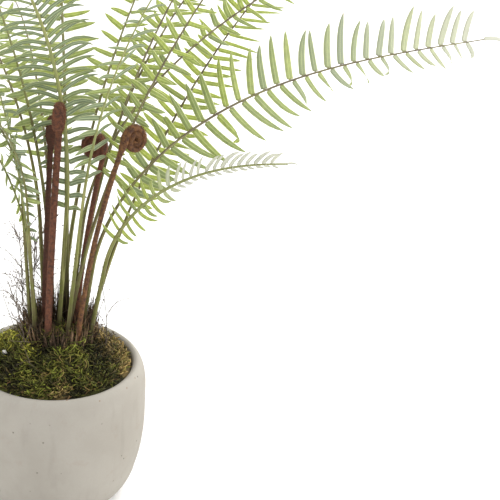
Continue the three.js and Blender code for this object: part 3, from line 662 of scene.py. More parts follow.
def mossScraps(edge, draws):
    # Rust-brown scraps of dead leaf that lie against the wall, most of them at the front. Each is a short
    # strip whose middle is bowed up by a sine.
    count = moss["scraps"]
    turn = np.radians(draws.normal(*moss["scrapTurn"], count))
    far = edge - np.abs(draws.normal(0, 0.004, count)) - 0.001
    roots = fromAxis(far, turn, mossHeight(far, turn) + 0.0015)
    heading = turn + np.pi / 2 + draws.normal(0, 0.6, count)
    ways = fromAxis(1.0, heading, draws.uniform(-0.1, 0.35, count))
    bow = upright * draws.uniform(*moss["scrapBow"], (count, 1))
    stations = np.linspace(0, 1, len(moss["scrapOutline"]))
    reach = ways * draws.uniform(*moss["scrapLength"], (count, 1))
    lines = straightLines(roots, reach, stations - 0.5) + bow[:, None] * np.sin(np.pi * stations)[:, None]
    hint = anySide(draws, count)
    halfWide = draws.uniform(*moss["scrapHalf"], (count, 1)) * np.array(moss["scrapOutline"])
    rings = flatStrips(lines, hint, halfWide, moss["scrapHalfThick"])
    return tubePart(rings, byTube(draws.uniform(0.5, 1, count)), 0.5, 2.0)


def mossChip():
    # One pale mineral chip: a small ball with flattened, uneven sides.
    x, y, size = moss["chip"]
    angles = fullTurn(10)
    tilt = np.linspace(0.1, np.pi - 0.1, 8)[:, None] * np.ones(len(angles))
    reach = size * (1 + 0.18 * np.sin(3 * angles + 2 * tilt) + 0.12 * np.cos(5 * tilt))
    middle = np.array([x, y, mossHeight(np.hypot(x, y), np.arctan2(y, x)) + moss["chipLift"]])
    ball = pointing(tilt, angles) * reach[..., None] * [1.0, 0.7, -1.0]
    return tubePart((middle + ball)[None], number=1)


def buildMoss():
    # The mound with its long strands, scraps and chip is one piece, and the finer sprigs over it are another.
    draws = np.random.default_rng(moss["seed"])
    edge = cavityRadiusAt(moss["edge"]) - moss["gap"]
    materials = [mossMaterial(), chipMaterial()]
    strands = mossStrands(edge, draws, moss["strands"])
    sprigs = mossStrands(edge, draws, moss["sprigs"])
    parts = [mossMound(edge), strands, mossScraps(edge, draws), mossChip()]
    addPiece("moss_mound", parts, materials, "moss")
    addPiece("moss_sprigs", [sprigs], materials[:1], "moss")
    print("moss built:", moss["strands"]["count"], "strands and", moss["sprigs"]["count"], "sprigs")


def chipMaterial():
    # Chalky white with faint grey pores.
    chalk = Finish("chip")
    pores = chalk.noise(900.0, 2.0)
    return chalk.surface({
        "Base Color": chalk.layer(moss["chipColour"], pot["cement"], pores, 0.4),
        "Roughness": 0.9,
        "Normal": chalk.bump(pores, 0.6, 0.0004),
    })


def mossMaterial():
    # The first trait is painted shade: how far the light gets, which takes the colour from near black to its
    # full strength.
    # The tone takes it from lime through green to gold, and past one to rust. The second trait mixes in
    # olive.
    sprig = Finish("moss")
    light, vary, tone = sprig.trait("along"), sprig.trait("across"), sprig.trait("tone")
    patch = sprig.noise(55.0, 3.0)
    colour = sprig.layer(moss["green"], moss["bright"], sprig.between(patch, 0.38, 0.62))
    colour = sprig.layer(colour, moss["olive"], sprig.between(vary, 0.70, 1.0))
    colour = sprig.layer(colour, moss["lime"], sprig.between(tone, 0.26, 0.04))
    colour = sprig.layer(colour, moss["gold"], sprig.between(tone, 0.58, 0.92))
    colour = sprig.layer(colour, moss["rust"], sprig.between(tone, 1.2, 1.8))
    lit = sprig.times(light, sprig.plus(sprig.times(vary, 0.5), 0.75))
    return sprig.surface({
        "Base Color": sprig.layer(moss["dark"], colour, sprig.between(lit, 0.05, 0.80)),
        "Roughness": 0.8,
        "Specular IOR Level": 0.25,
        "Normal": sprig.bump(sprig.noise(700.0, 2.0), 0.7, 0.0008),
    })


crown = {
    "x": 0.005,
    "y": 0.0,
    "halfLength": 0.0335,
    "halfWidth": 0.026,
    "foot": 0.104,              # heights
    "edge": 0.174,
    "peak": 0.182,
    "wallRings": 10,
    "domeRings": 11,
    "segments": 144,
    "ridge": 0.0012,
    "ridges": 34,
    "fibres": 1700,
    "fibreLength": (0.014, 0.052),
    "fibreHalf": (0.00018, 0.00052),
    "fibreTaper": (1.0, 1.0, 0.85, 0.6, 0.15),
    "fibreLean": (-2, 20),      # degrees away from the middle, for one at the edge
    "fibreBend": 22,            # degrees, spread
    "scales": 150,
    "scaleLength": (0.010, 0.026),
    "scaleHalf": (0.0005, 0.0013),
    "scaleOutline": (0.8, 1.0, 0.9, 0.6, 0.08),
    "scaleHalfThick": 0.00022,
    "scaleLean": (-4, 26),
    "scaleDrop": (0.002, 0.013),  # from the edge down to a scale's root
    "seed": 8,
    "dark": (0.030, 0.020, 0.013),
    "brown": (0.225, 0.138, 0.080),
    "pale": (0.40, 0.26, 0.14),
}


def crownTop(share):
    # The height of its low dome: the square root of one minus the square of the way out from the middle.
    return crown["edge"] + (crown["peak"] - crown["edge"]) * np.sqrt(np.clip(1 - share ** 2, 0, 1))


def onCrown(share, turn, height, wave=0.0):
    # A place so far out from the middle of the crown's oval, whose edge is moved by the wave.
    length = (crown["halfLength"] + wave) * share
    width = (crown["halfWidth"] + wave) * share
    return np.stack([crown["x"] + length * np.cos(turn), crown["y"] + width * np.sin(turn), height], -1)


def crownStock():
    # An oval wall and a low dome, both ridged by a wave in the angle.
    angles = fullTurn(crown["segments"])
    dome = np.linspace(0, np.pi / 2, crown["domeRings"] + 1)[:-1]
    share = np.concatenate([np.ones(crown["wallRings"]), np.cos(dome)])
    height = np.concatenate([np.linspace(crown["foot"], crown["edge"], crown["wallRings"]),
                             crown["edge"] + (crown["peak"] - crown["edge"]) * np.sin(dome)])
    wave = crown["ridge"] * (np.sin(crown["ridges"] * angles + 3 * np.sin(2 * angles)) - 1)
    rings = onCrown(share[:, None], angles, height[:, None] * np.ones(len(angles)), wave)[None]
    return tubePart(rings, 0.1, 0.2, 0.2)


def crownFibres(draws):
    # Loose fibres: each leans away from the middle, more at the edge than inside, and bends a little.
    count = crown["fibres"]
    turn = draws.uniform(0, 2 * np.pi, count)
    inside = draws.uniform(0.25, 1.0, count) ** 0.5
    lengths = draws.uniform(*crown["fibreLength"], count) * (0.7 + 0.3 * np.sin(turn))
    lean = np.radians(inside * draws.uniform(*crown["fibreLean"], count))
    heading = turn + draws.normal(0, 0.5, count)
    bend = np.radians(draws.normal(0, crown["fibreBend"], count))
    stations = np.linspace(0, 1, len(crown["fibreTaper"]))
    ways = pointing(lean[:, None] + bend[:, None] * stations, heading[:, None])
    roots = onCrown(inside, turn, crownTop(inside) - 0.006)
    halves = draws.uniform(*crown["fibreHalf"], count)[:, None] * np.array(crown["fibreTaper"])
    rings = roundTubes(walk(roots, ways[:, :-1], lengths), halves, 3, draws)
    vary = byTube(draws.uniform(0, 1, count))
    return tubePart(rings, stations[:, None], vary, byTube(draws.uniform(0, 1, count)))


def crownScales(draws):
    # Dry sheath scales: flat strips that hug the stock's edge and stand up round the stems.
    count = crown["scales"]
    turn = draws.uniform(0, 2 * np.pi, count)
    out = fromAxis(1.0, turn, np.zeros(count))
    roots = onCrown(1.0, turn, crown["edge"] - draws.uniform(*crown["scaleDrop"], count))
    lean = np.radians(draws.uniform(*crown["scaleLean"], count))
    reach = turned(upright, out, lean) * draws.uniform(*crown["scaleLength"], count)[:, None]
    stations = np.linspace(0, 1, len(crown["scaleOutline"]))
    halfWide = draws.uniform(*crown["scaleHalf"], count)[:, None] * np.array(crown["scaleOutline"])
    hint = np.cross(upright, out)[:, None]
    rings = flatStrips(straightLines(roots, reach, stations), hint, halfWide, crown["scaleHalfThick"])
    vary = byTube(draws.uniform(0.4, 1, count))
    return tubePart(rings, stations[:, None], vary, byTube(draws.uniform(0.3, 1, count)))


def buildCrown():
    # The stock, its loose fibres and its sheath scales, all in one piece.
    draws = np.random.default_rng(crown["seed"])
    parts = [crownStock(), crownFibres(draws), crownScales(draws)]
    addPiece("crown_fibres", parts, [fibreMaterial()], "crown")
    print("crown built")


def fibreMaterial():
    # Dark brown at the root, mid brown along the fibre, some fibres straw-coloured.
    fibre = Finish("crown")
    along, tone = fibre.trait("along"), fibre.trait("tone")
    streak = fibre.noise(260.0, 3.0)
    colour = fibre.layer(crown["dark"], crown["brown"], fibre.times(fibre.between(streak, 0.3, 0.7), tone))
    straw = fibre.times(fibre.between(tone, 0.68, 0.98), fibre.between(along, 0.0, 0.8))
    return fibre.surface({
        "Base Color": fibre.layer(colour, crown["pale"], straw, 0.65),
        "Roughness": 0.85,
        "Specular IOR Level": 0.25,
        "Normal": fibre.bump(streak, 0.6, 0.001),
    })


# Each frond: where its stem leaves the crown (x, y), its heading in degrees (0 is +X, 90 is the back), its
# lean from the vertical at the foot and at the tip, the share of the length where the arch starts, how
# early the arch is over, the length, the bare share, the longest leaflet, the turn of the blade about its
# rib, how far the leaflets fold up, the first leaflet's length as a share of the longest, and the share of
# the blade at which they reach full length. The second line: how green its rib is, how pale the blade gets
# towards its tip, the share of its leaflets that curl, how grey-green and dull they are, the way from one
# leaflet to the next, the share by which that shrinks, half a leaflet's width, how far in degrees its line
# turns towards the tip, how strongly it hangs, how stout the rib is, the share of leaflets that are curled
# and short along the front side of the blade's outer half, and the share of the blade from which they fold
# up along the rib.
frondColumns = ("name", "x", "y", "heading", "leanLow", "leanHigh", "archStart", "archEase", "length",
                "bare", "leaflet", "roll", "fold", "firstLeaflet", "fullAt",
                "green", "pale", "curled", "sage", "spacing", "crowding", "half", "bend", "hang", "stout",
                "ragged", "furledFrom")
frondRows = (
    ("frond_01", 0.002, -0.010, -125, -6, 46, 0.30, 1.0, 0.470, 0.32, 0.046, 40, 32, 0.40, 0.5,
     1.0, 0.0, 0.02, 1.00, 0.0130, 0.42, 0.0028, 4, 0.80, 1.6, 0.0, 1.00),
    ("frond_02", 0.022, -0.004, 16, 9, 86, 0.16, 2.4, 0.585, 0.30, 0.050, 54, 4, 0.50, 0.3,
     0.0, 1.0, 0.05, 0.50, 0.0136, 0.00, 0.0035, 40, 0.30, 1.0, 0.7, 1.00),
    ("frond_03", 0.030, -0.009, -14, 10, 84, 0.31, 1.4, 0.327, 0.40, 0.025, 58, 20, 0.80, 0.2,
     0.9, 1.0, 0.10, 0.30, 0.0096, 0.20, 0.0021, 40, 0.15, 1.4, 0.5, 0.30),
    ("frond_04", 0.010, -0.007, 4, 6, 35, 0.00, 1.0, 0.440, 0.43, 0.030, 35, 6, 0.50, 0.6,
     0.1, 0.0, 0.03, 0.35, 0.0146, 0.00, 0.0035, 22, 0.40, 1.1, 0.0, 1.00),
    ("frond_05", 0.011, 0.008, 18, 7, 66, 0.25, 2.0, 0.530, 0.35, 0.032, 34, 6, 0.35, 0.8,
     0.0, 0.2, 0.03, 0.35, 0.0148, 0.00, 0.0034, 26, 0.40, 1.0, 0.0, 1.00),
    ("frond_06", 0.029, 0.005, 38, 15, 62, 0.00, 1.0, 0.500, 0.30, 0.038, 12, 4, 0.60, 0.2,
     0.1, 0.1, 0.02, 0.00, 0.0096, 0.00, 0.0031, 16, 0.20, 1.0, 0.0, 1.00),
    ("frond_07", 0.009, -0.017, -40, 7, 34, 0.40, 1.0, 0.430, 0.46, 0.030, 0, 6, 0.60, 0.3,
     1.0, 0.0, 0.03, 0.90, 0.0150, 0.00, 0.0032, 10, 0.50, 1.2, 0.0, 1.00),
    ("frond_08", 0.004, 0.017, 52, 9, 46, 0.20, 1.0, 0.430, 0.54, 0.028, 0, 6, 0.70, 0.2,
     0.5, 0.0, 0.05, 0.20, 0.0140, 0.00, 0.0031, 24, 0.40, 1.0, 0.0, 1.00),
    ("frond_09", -0.004, 0.008, 150, 1, 30, 0.20, 1.0, 0.440, 0.50, 0.032, 0, 6, 0.70, 0.2,
     0.6, 0.3, 0.05, 0.70, 0.0134, 0.00, 0.0030, 20, 0.60, 1.2, 0.0, 1.00),
    ("frond_10", -0.015, -0.006, -165, 5, 23, 0.35, 1.0, 0.400, 0.32, 0.020, 0, 30, 0.70, 0.2,
     0.9, 0.4, 0.50, 0.95, 0.0086, 0.00, 0.0019, 20, 0.50, 1.0, 0.0, 1.00),
    ("frond_11", -0.017, 0.004, 178, 4, 62, 0.28, 1.0, 0.370, 0.36, 0.026, 0, 8, 0.70, 0.2,
     0.6, 0.6, 0.05, 0.50, 0.0105, 0.00, 0.0027, 30, 0.50, 1.0, 0.0, 1.00),
    ("frond_12", 0.012, 0.014, 95, 4, 42, 0.30, 1.0, 0.460, 0.50, 0.032, 0, 6, 0.70, 0.2,
     0.5, 0.0, 0.03, 0.10, 0.0130, 0.00, 0.0031, 20, 0.40, 1.2, 0.0, 1.00),
    ("frond_13", 0.021, 0.011, 47, 4, 66, 0.12, 1.0, 0.450, 0.52, 0.028, 0, 6, 0.70, 0.2,
     0.2, 0.2, 0.03, 0.20, 0.0140, 0.00, 0.0031, 28, 0.40, 1.0, 0.0, 1.00),
    ("frond_14", 0.020, 0.004, 38, 3, 44, 0.05, 1.0, 0.440, 0.45, 0.028, 0, 6, 0.70, 0.2,
     0.1, 0.0, 0.03, 0.20, 0.0144, 0.00, 0.0031, 24, 0.40, 1.1, 0.0, 1.00),
    ("frond_15", -0.009, 0.014, 124, 4, 66, 0.30, 1.2, 0.420, 0.52, 0.036, 0, 6, 0.70, 0.2,
     0.3, 0.2, 0.04, 0.30, 0.0130, 0.00, 0.0028, 24, 0.40, 1.0, 0.0, 1.00),
    ("frond_16", -0.002, 0.018, 100, 6, 88, 0.28, 1.2, 0.410, 0.46, 0.036, 0, 6, 0.70, 0.2,
     0.3, 0.1, 0.05, 0.40, 0.0126, 0.00, 0.0028, 24, 0.40, 1.0, 0.0, 1.00),
    ("frond_17", -0.022, -0.002, 172, 3, 94, 0.40, 1.2, 0.430, 0.42, 0.036, 0, 6, 0.70, 0.2,
     0.4, 0.4, 0.05, 0.60, 0.0130, 0.00, 0.0028, 24, 0.40, 1.0, 0.0, 1.00),
    ("frond_18", -0.018, -0.013, -150, 3, 74, 0.42, 1.1, 0.400, 0.42, 0.036, 0, 6, 0.70, 0.2,
     0.5, 0.4, 0.05, 0.70, 0.0130, 0.00, 0.0028, 24, 0.40, 1.0, 0.0, 1.00),
)

frondForm = {
    "stipeHalves": (0.0023, 0.0020),  # half the stem at its foot, to the side and up
    "ribHalves": (0.0014, 0.0010),  # and where the blade starts
    "tipTaper": 0.42,           # of the rib at its tip
    "stemStations": 84,
    "stemCorners": 10,
    "scales": 90,               # on each stem
    "scaleLength": (0.0012, 0.0042),
    "scaleHalf": (0.00012, 0.00030),
    "scaleTaper": (1.0, 0.8, 0.1),
    "bladeSteps": 400,
    "firstPlace": 0.4,          # how many spacings up the blade the first leaflet stands
    "tipSpace": 0.6,            # spacings left free below the end leaflet
    "stagger": 0.22,            # of the spacing, from one side to the other
    "slenderest": 0.13,         # no leaflet is wider than this share of its length, to each side
    "leafletThick": 0.00022,    # half its thickness
    "sweepLow": 82.0,           # degrees between the rib and a leaflet at the foot of the blade
    "sweepHigh": 68.0,          # and at its tip
    "spread": {"sweep": 3.5, "lift": 5.0, "curl": 8.0, "twist": 12.0},  # degrees, from leaflet to leaflet
    "curledBy": (60, 150),      # degrees that a curled leaflet rolls up
    "curledTwist": (-80, 80),
    "furledSweep": 32.0,        # degrees nearer to the rib where the blade's end is furled
    "furledLift": 20.0,
    "dish": (-0.26, 0.05),      # how far its edges stand above its midrib, as a share of half its width
    "ear": 0.22,                # how much wider its root is on the side towards the frond's tip
    "endBend": 0.5,             # radians, of the leaflet at the frond's tip
    "endHalf": 0.6,             # shares of the others' half width and of the longest leaflet
    "endLength": 0.5,
    "seed": 21,
}

leafColours = {
    "deep": (0.092, 0.138, 0.042),
    "sage": (0.180, 0.235, 0.155),
    "lime": (0.340, 0.410, 0.124),
    "edge": (0.880, 0.910, 0.560),
    "pale": (0.600, 0.610, 0.540),
    "dry": (0.360, 0.270, 0.150),
    "through": (0.770, 0.830, 0.350),
    "throughSage": (0.570, 0.640, 0.400),
    "throughEdge": (0.960, 0.980, 0.640),
    "throughPale": (0.860, 0.860, 0.760),
}

stemColours = {
    "foot": (0.036, 0.024, 0.014),
    "olive": (0.128, 0.134, 0.034),
    "green": (0.170, 0.198, 0.050),
    "brown": (0.145, 0.115, 0.064),
    "ribGreen": (0.260, 0.285, 0.115),
    "ribBrown": (0.140, 0.112, 0.086),
    "streak": (0.350, 0.345, 0.130),
    "scale": (0.110, 0.055, 0.028),
}

# A leaflet's stations: the step of its line that each lies on, and the half width there, as a share.
leafSteps = 80
leafStations = np.array([0, 1, 2, 8, 24, 40, 55, 67, 75, 80])
leafWidths = np.array([0.22, 0.30, 0.86, 1.0, 0.99, 0.94, 0.80, 0.56, 0.28, 0.03])
# Its cross-section: across and up, with a groove along the middle of the upper face.
leafAcross = np.array([1.0, 0.5, 0.0, -0.5, -1.0, 0.0])
leafUp = np.array([0.0, 1.0, 0.25, 1.0, 0.0, -1.0])
paleLevels = 9.0                # how pale a leaflet is, in whole steps


def stemHalves(frond, shares):
    # Half the stem's size falls with the square of the way to the blade, and then evenly to its tip.
    f = frondForm
    low = np.minimum(1, shares / frond["bare"])[:, None] ** 2
    taper = np.clip((shares - frond["bare"]) / (1 - frond["bare"]), 0, 1)[:, None]
    both = np.array(f["stipeHalves"]) * (1 - low) + np.array(f["ribHalves"]) * frond["stout"] * low
    return (both * (1 + (f["tipTaper"] - 1) * taper)).T


def lengthShare(frond, bladeShare):
    # From the first leaflet's share it grows evenly to one, and it falls to three quarters at the blade's
    # tip.
    grown = frond["firstLeaflet"] + (1 - frond["firstLeaflet"]) * np.minimum(1, bladeShare / frond["fullAt"])
    return grown * (1 - 0.25 * bladeShare ** 4)


def leafletRings(roots, along, out, face, hand, size):
    # A leaflet's line starts out from the rib at its sweep, turns towards the frond's tip, lifts or curls
    # out of the blade's plane, and sinks a little. The line is the sum of short steps; its width lies
    # square to it in the plane and turns with the twist.
    along, out, face = along[:, None], out[:, None], face[:, None]
    u = (np.arange(leafSteps) + 0.5) / leafSteps
    sweep = size["sweep"][:, None] - size["bend"][:, None] * u ** 1.5
    pitch = size["lift"][:, None] - size["curl"][:, None] * u ** 1.6
    steps = turned(turned(along, out, sweep), face, pitch)
    steps[..., 2] -= size["hang"][:, None] * u ** 1.3
    steps = unit(steps)
    across = turned(out, -along, sweep) * byTube(hand)
    across = unit(across - steps * (across * steps).sum(-1, keepdims=True))
    line = walk(roots, steps, size["length"])[:, leafStations]
    at = np.minimum(leafStations, leafSteps - 1)
    level, normal = across[:, at], np.cross(steps, across)[:, at]
    twist = size["twist"][:, None] * (leafStations / leafSteps)
    wide = turned(level, normal, twist)[:, :, None]
    high = turned(normal, -level, twist)[:, :, None]
    half = (size["half"][:, None] * leafWidths)[..., None]
    # the side towards the frond's tip has a small ear at its root
    ear = 1 + frondForm["ear"] * np.maximum(0, -leafAcross * byTube(hand)) * (leafStations[:, None] == 2)
    spread = half * leafAcross * ear
    thick = frondForm["leafletThick"] * (0.35 + 0.65 * leafWidths)[:, None] * leafUp
    dish = byTube(size["dish"]) * np.abs(leafAcross) * half
    return line[:, :, None] + wide * spread[..., None] + high * (thick + dish)[..., None]


def leafletSizes(frond, bladeShare, hand, draws):
    # Angles in degrees first, then lengths. Furled and outer run from nought to one: the first over the
    # blade's furled end, the second over its outer half on the front side.
    f = frondForm
    total = len(bladeShare)
    outer = (hand < 0) * np.clip((bladeShare - 0.35) / 0.2, 0, 1)
    furled = np.clip((bladeShare - frond["furledFrom"]) / 0.15, 0, 1)
    ragged, spread = frond["ragged"], f["spread"]
    curled = draws.uniform(0, 1, total) < frond["curled"] * (0.4 + 1.2 * bladeShare) + ragged * outer
    sweep = f["sweepLow"] + (f["sweepHigh"] - f["sweepLow"]) * bladeShare
    sweep = sweep + draws.normal(0, spread["sweep"], total)
    bend = frond["bend"] * draws.uniform(0.5, 1.5, total) * (1 - 0.9 * ragged * (hand > 0))
    lift = frond["fold"] + draws.normal(0, spread["lift"], total)
    curl = 4 + 0.5 * frond["fold"] + draws.normal(0, spread["curl"], total)
    curl = curl + curled * draws.uniform(*f["curledBy"], total)
    twist = draws.normal(0, spread["twist"], total) + curled * draws.uniform(*f["curledTwist"], total)
    size = {
        "sweep": np.radians(sweep - f["furledSweep"] * furled),
        "bend": np.radians(bend),
        "lift": np.radians(lift + f["furledLift"] * furled),
        "curl": np.radians(curl),
        "twist": np.radians(twist),
    }
    length = frond["leaflet"] * lengthShare(frond, bladeShare) * (1 + 0.07 * draws.normal(0, 1, total))
    size["length"] = length * (1 - 0.6 * ragged * outer) * (1 - 0.3 * furled * (hand < 0))
    narrower = 0.3 * (1 - ragged) + 0.3 * outer
    half = frond["half"] * (1 - narrower * bladeShare) * draws.uniform(0.88, 1.12, total)
    size["half"] = np.minimum(half, f["slenderest"] * size["length"])
    size["hang"] = frond["hang"] * draws.uniform(0.5, 1.5, total)
    size["dish"] = draws.uniform(*f["dish"], total)
    # the end leaflet goes straight on from the rib
    size["sweep"][-1] = 0.0
    size["bend"][-1] = f["endBend"]
    size["half"][-1] *= f["endHalf"]
    size["length"][-1] = frond["leaflet"] * f["endLength"]
    paleShare = np.maximum(np.clip(bladeShare, 0, 1) ** 1.9, furled)
    return size, np.floor(frond["pale"] * paleShare * paleLevels)


def leafletPart(frond, draws):
    # The count of leaflets up to a place is the sum of the blade's small steps, each over the spacing
    # there.
    f = frondForm
    grid = np.linspace(0, 1, f["bladeSteps"])
    spacing = frond["spacing"] * (1 - frond["crowding"] * np.minimum(1, grid / 0.4))
    passed = np.cumsum(frond["length"] * (1 - frond["bare"]) / f["bladeSteps"] / spacing)
    places = np.arange(int(passed[-1] - f["tipSpace"])) + f["firstPlace"]
    hand = np.concatenate([np.ones(len(places)), -np.ones(len(places)), [1.0]])
    bladeShare = np.interp(np.concatenate([places, places + f["stagger"], passed[-1:]]), passed, grid)
    shares = frond["bare"] + bladeShare * (1 - frond["bare"])
    along, side, up = framesAt(frond, shares)
    halfSide, _ = stemHalves(frond, shares)
    out = side * hand[:, None]
    roots = pointsAt(frond, stemFoot, shares) + out * (halfSide * 0.8)[:, None]
    size, pale = leafletSizes(frond, bladeShare, hand, draws)
    rings = leafletRings(roots, along, out, up, hand, size)
    tint = np.clip(0.12 + 0.72 * frond["sage"] + draws.normal(0, 0.16, len(hand)), 0.0, 0.999)
    return tubePart(rings, (leafStations / leafSteps)[:, None], leafAcross, byTube(tint + pale), 1)


def stemParts(frond, draws):
    # The stem is an oval tube; small scales stand on its lower part.
    f = frondForm
    shares = np.linspace(0, 1, f["stemStations"])
    _, side, up = framesAt(frond, shares)
    line = pointsAt(frond, stemFoot, shares)
    rings = ringsRound(line, side, up, *stemHalves(frond, shares), f["stemCorners"])[None]
    turn = np.arange(f["stemCorners"]) / f["stemCorners"]
    stem = tubePart(rings, shares[:, None] / frond["bare"], turn, frond["green"])
    count = f["scales"]
    shares = frond["bare"] * 0.85 * draws.uniform(0.05, 1, count) ** 1.6
    along, side, up = framesAt(frond, shares)
    _, halfUp = stemHalves(frond, shares)
    out = turned(side, up, draws.uniform(0, 2 * np.pi, count))
    roots = pointsAt(frond, stemFoot, shares) + out * (halfUp * 0.9)[:, None]
    lean = out * draws.uniform(0.15, 0.7, (count, 1)) + along * draws.uniform(-0.3, 1, (count, 1))
    reach = unit(lean) * draws.uniform(*f["scaleLength"], (count, 1))
    halves = draws.uniform(*f["scaleHalf"], (count, 1)) * np.array(f["scaleTaper"])
    rings = roundTubes(straightLines(roots, reach, [0.0, 0.5, 1.0]), halves, 3, draws)
    return [stem, tubePart(rings, number=2)]


def buildFrond(frond, draws, materials):
    # A stem with its scales, and all its leaflets, in one piece.
    parts = stemParts(frond, draws)
    parts.append(leafletPart(frond, draws))
    addPiece("fine_" + frond["name"], parts, materials, frond["name"])


def leafMaterial():
    # The tone's fraction is a leaflet's own tint and its whole part, over nine, is how pale it is. Veins
    # slant from the midrib to the edge, the edge is a thin line of painted light, and light comes through the
    # blade.
    leaf = Finish("leaflet")
    colours = leafColours
    along, packed = leaf.trait("along"), leaf.trait("tone")
    across = leaf.math("ABSOLUTE", leaf.trait("across"))
    tint = leaf.math("FRACT", packed)
    pale = leaf.math("DIVIDE", leaf.math("FLOOR", packed), paleLevels)
    slant = leaf.math("SUBTRACT", leaf.times(along, 150.0), leaf.times(across, 6.0))
    veins = leaf.between(leaf.math("SINE", slant), 0.2, 1.0)
    mottle = leaf.noise(240.0, 3.0)
    midrib = leaf.between(across, 0.13, 0.02)
    litMargin = leaf.between(across, 0.66, 0.94)
    stalk = leaf.between(along, 0.05, 0.02)
    driedTip = leaf.times(leaf.between(along, 0.9, 1.0), leaf.between(tint, 0.6, 0.8))
    colour = leaf.layer(colours["deep"], colours["lime"], leaf.between(mottle, 0.30, 0.75))
    colour = leaf.layer(colour, colours["sage"], leaf.between(tint, 0.05, 0.95))
    colour = leaf.layer(colour, colours["edge"], veins, 0.16)
    colour = leaf.layer(colour, colours["edge"], midrib, 0.6)
    # painted light: the thin bright edge where back light shines through
    colour = leaf.layer(colour, colours["edge"], litMargin, 0.95)
    colour = leaf.layer(colour, colours["pale"], pale)
    colour = leaf.layer(colour, stemColours["brown"], stalk, 0.8)
    colour = leaf.layer(colour, colours["dry"], driedTip)
    height = leaf.plus(leaf.times(veins, 0.5), leaf.times(mottle, 0.5))
    normal = leaf.bump(height, 0.35, 0.0005)
    glow = leaf.layer(colours["through"], colours["throughSage"], leaf.between(tint, 0.3, 0.9))
    glow = leaf.layer(glow, colours["throughEdge"], litMargin, 0.9)
    glow = leaf.layer(glow, colours["throughPale"], pale)
    glow = leaf.layer(glow, colour, veins, 0.15)
    material = leaf.surface({
        "Base Color": colour,
        "Roughness": 0.52,
        "Specular IOR Level": 0.4,
        "Normal": normal,
    })
    through = leaf.node("BsdfTranslucent", {"Color": glow, "Normal": normal}).outputs[0]
    passing = leaf.math("SUBTRACT", 0.56, leaf.times(tint, 0.20))
    both = leaf.node("MixShader", {0: passing, 1: leaf.shader.outputs[0], 2: through}).outputs[0]
    leaf.join(leaf.tree.nodes["Material Output"].inputs["Surface"], both)
    return material


def stemMaterial():
    # Brown at the foot, then olive, and on the rib green or brown as the tone says, with pale streaks along
    # it that are partly its own colour and partly painted highlight.
    stem = Finish("stem")
    colours = stemColours
    along, turn, green = stem.trait("along"), stem.trait("across"), stem.trait("tone")
    sockets = {"X": stem.times(turn, 9.0), "Y": stem.times(along, 2.5), "Z": green}
    streaks = stem.noise(1.6, 4.0, where=stem.node("CombineXYZ", sockets).outputs[0])
    mottle = stem.noise(130.0, 4.0)
    lower = stem.layer(colours["olive"], colours["brown"], stem.between(mottle, 0.35, 0.65))
    lower = stem.layer(lower, colours["green"], stem.between(green, 0.2, 1.0), 0.40)
    rib = stem.layer(colours["ribBrown"], colours["ribGreen"], stem.between(green, 0.2, 0.8))
    colour = stem.layer(lower, rib, stem.between(along, 0.9, 1.4))
    # pale streaks: partly the stem's own colour, partly painted highlight
    colour = stem.layer(colour, colours["streak"], stem.between(streaks, 0.48, 0.60), 0.75)
    foot = stem.plus(stem.between(along, 0.50, 0.05), stem.times(mottle, 0.12))
    return stem.surface({
        "Base Color": stem.layer(colour, colours["foot"], foot),
        "Roughness": 0.6,
        "Specular IOR Level": 0.15,
        "Normal": stem.bump(streaks, 0.5, 0.0006),
    })


def scaleMaterial():
    # Rust-brown, lighter and darker from scale to scale.
    scale = Finish("scale")
    colour = scale.layer(stemColours["foot"], stemColours["scale"], scale.noise(380.0, 1.0))
    return scale.surface({"Base Color": colour, "Roughness": 0.8})


# Each young frond: its stem as above, the heading that its coil turns towards, half the stem's width, and
# how far its colour goes from rust to amber, or below nought to dark brown.
youngColumns = ("name", "x", "y", "heading", "leanLow", "leanHigh", "length",
                "coilHeading", "stemHalf", "amber")
youngRows = (
    ("young_frond_1", -0.008, -0.019, 20, 2, 4, 0.256, -96, 0.0032, 0.2),
    ("young_frond_2", 0.020, -0.019, -12, 4, 17, 0.239, 30, 0.0024, 1.0),
    ("young_frond_3", 0.017, -0.001, 15, 4, 12, 0.217, 160, 0.0024, 0.2),
    ("young_frond_4", -0.011, 0.001, 20, 1, 3, 0.228, 85, 0.0026, -1.0),
)

youngForm = {
    "turns": 2.0,
    "outer": 0.011,             # from the middle of the coil to the middle of its outer turn
    "inner": 0.0012,
    "tall": 1.2,                # height of the coil over its width
    "halfAcross": (0.0029, 0.0037),  # outside and at the middle of the coil
    "halfThick": (0.0034, 0.0054),  # at the coil's top and foot, and at half its height
    "neck": 0.06,               # the share of the stem over which it swells to the coil's size
    "corners": 16,
    "stemStations": 60,
    "coilStations": 90,
    "hairs": 6500,
    "hairLength": (0.0006, 0.0020),
    "hairHalf": (0.00007, 0.00013),
    "hairLean": (0.0, 1.1),     # towards the tip, over how far it stands out
    "hairTousle": 0.35,
    "longHairs": (0.012, 2.2),  # their share, and how much longer they are
    "seed": 31,
    "dark": (0.050, 0.019, 0.010),
    "rust": (0.145, 0.043, 0.021),
    "light": (0.420, 0.135, 0.052),
    "amber": (0.184, 0.082, 0.026),
    "amberLight": (0.400, 0.196, 0.068),
    "sheen": (0.9, 0.35, 0.18),
}


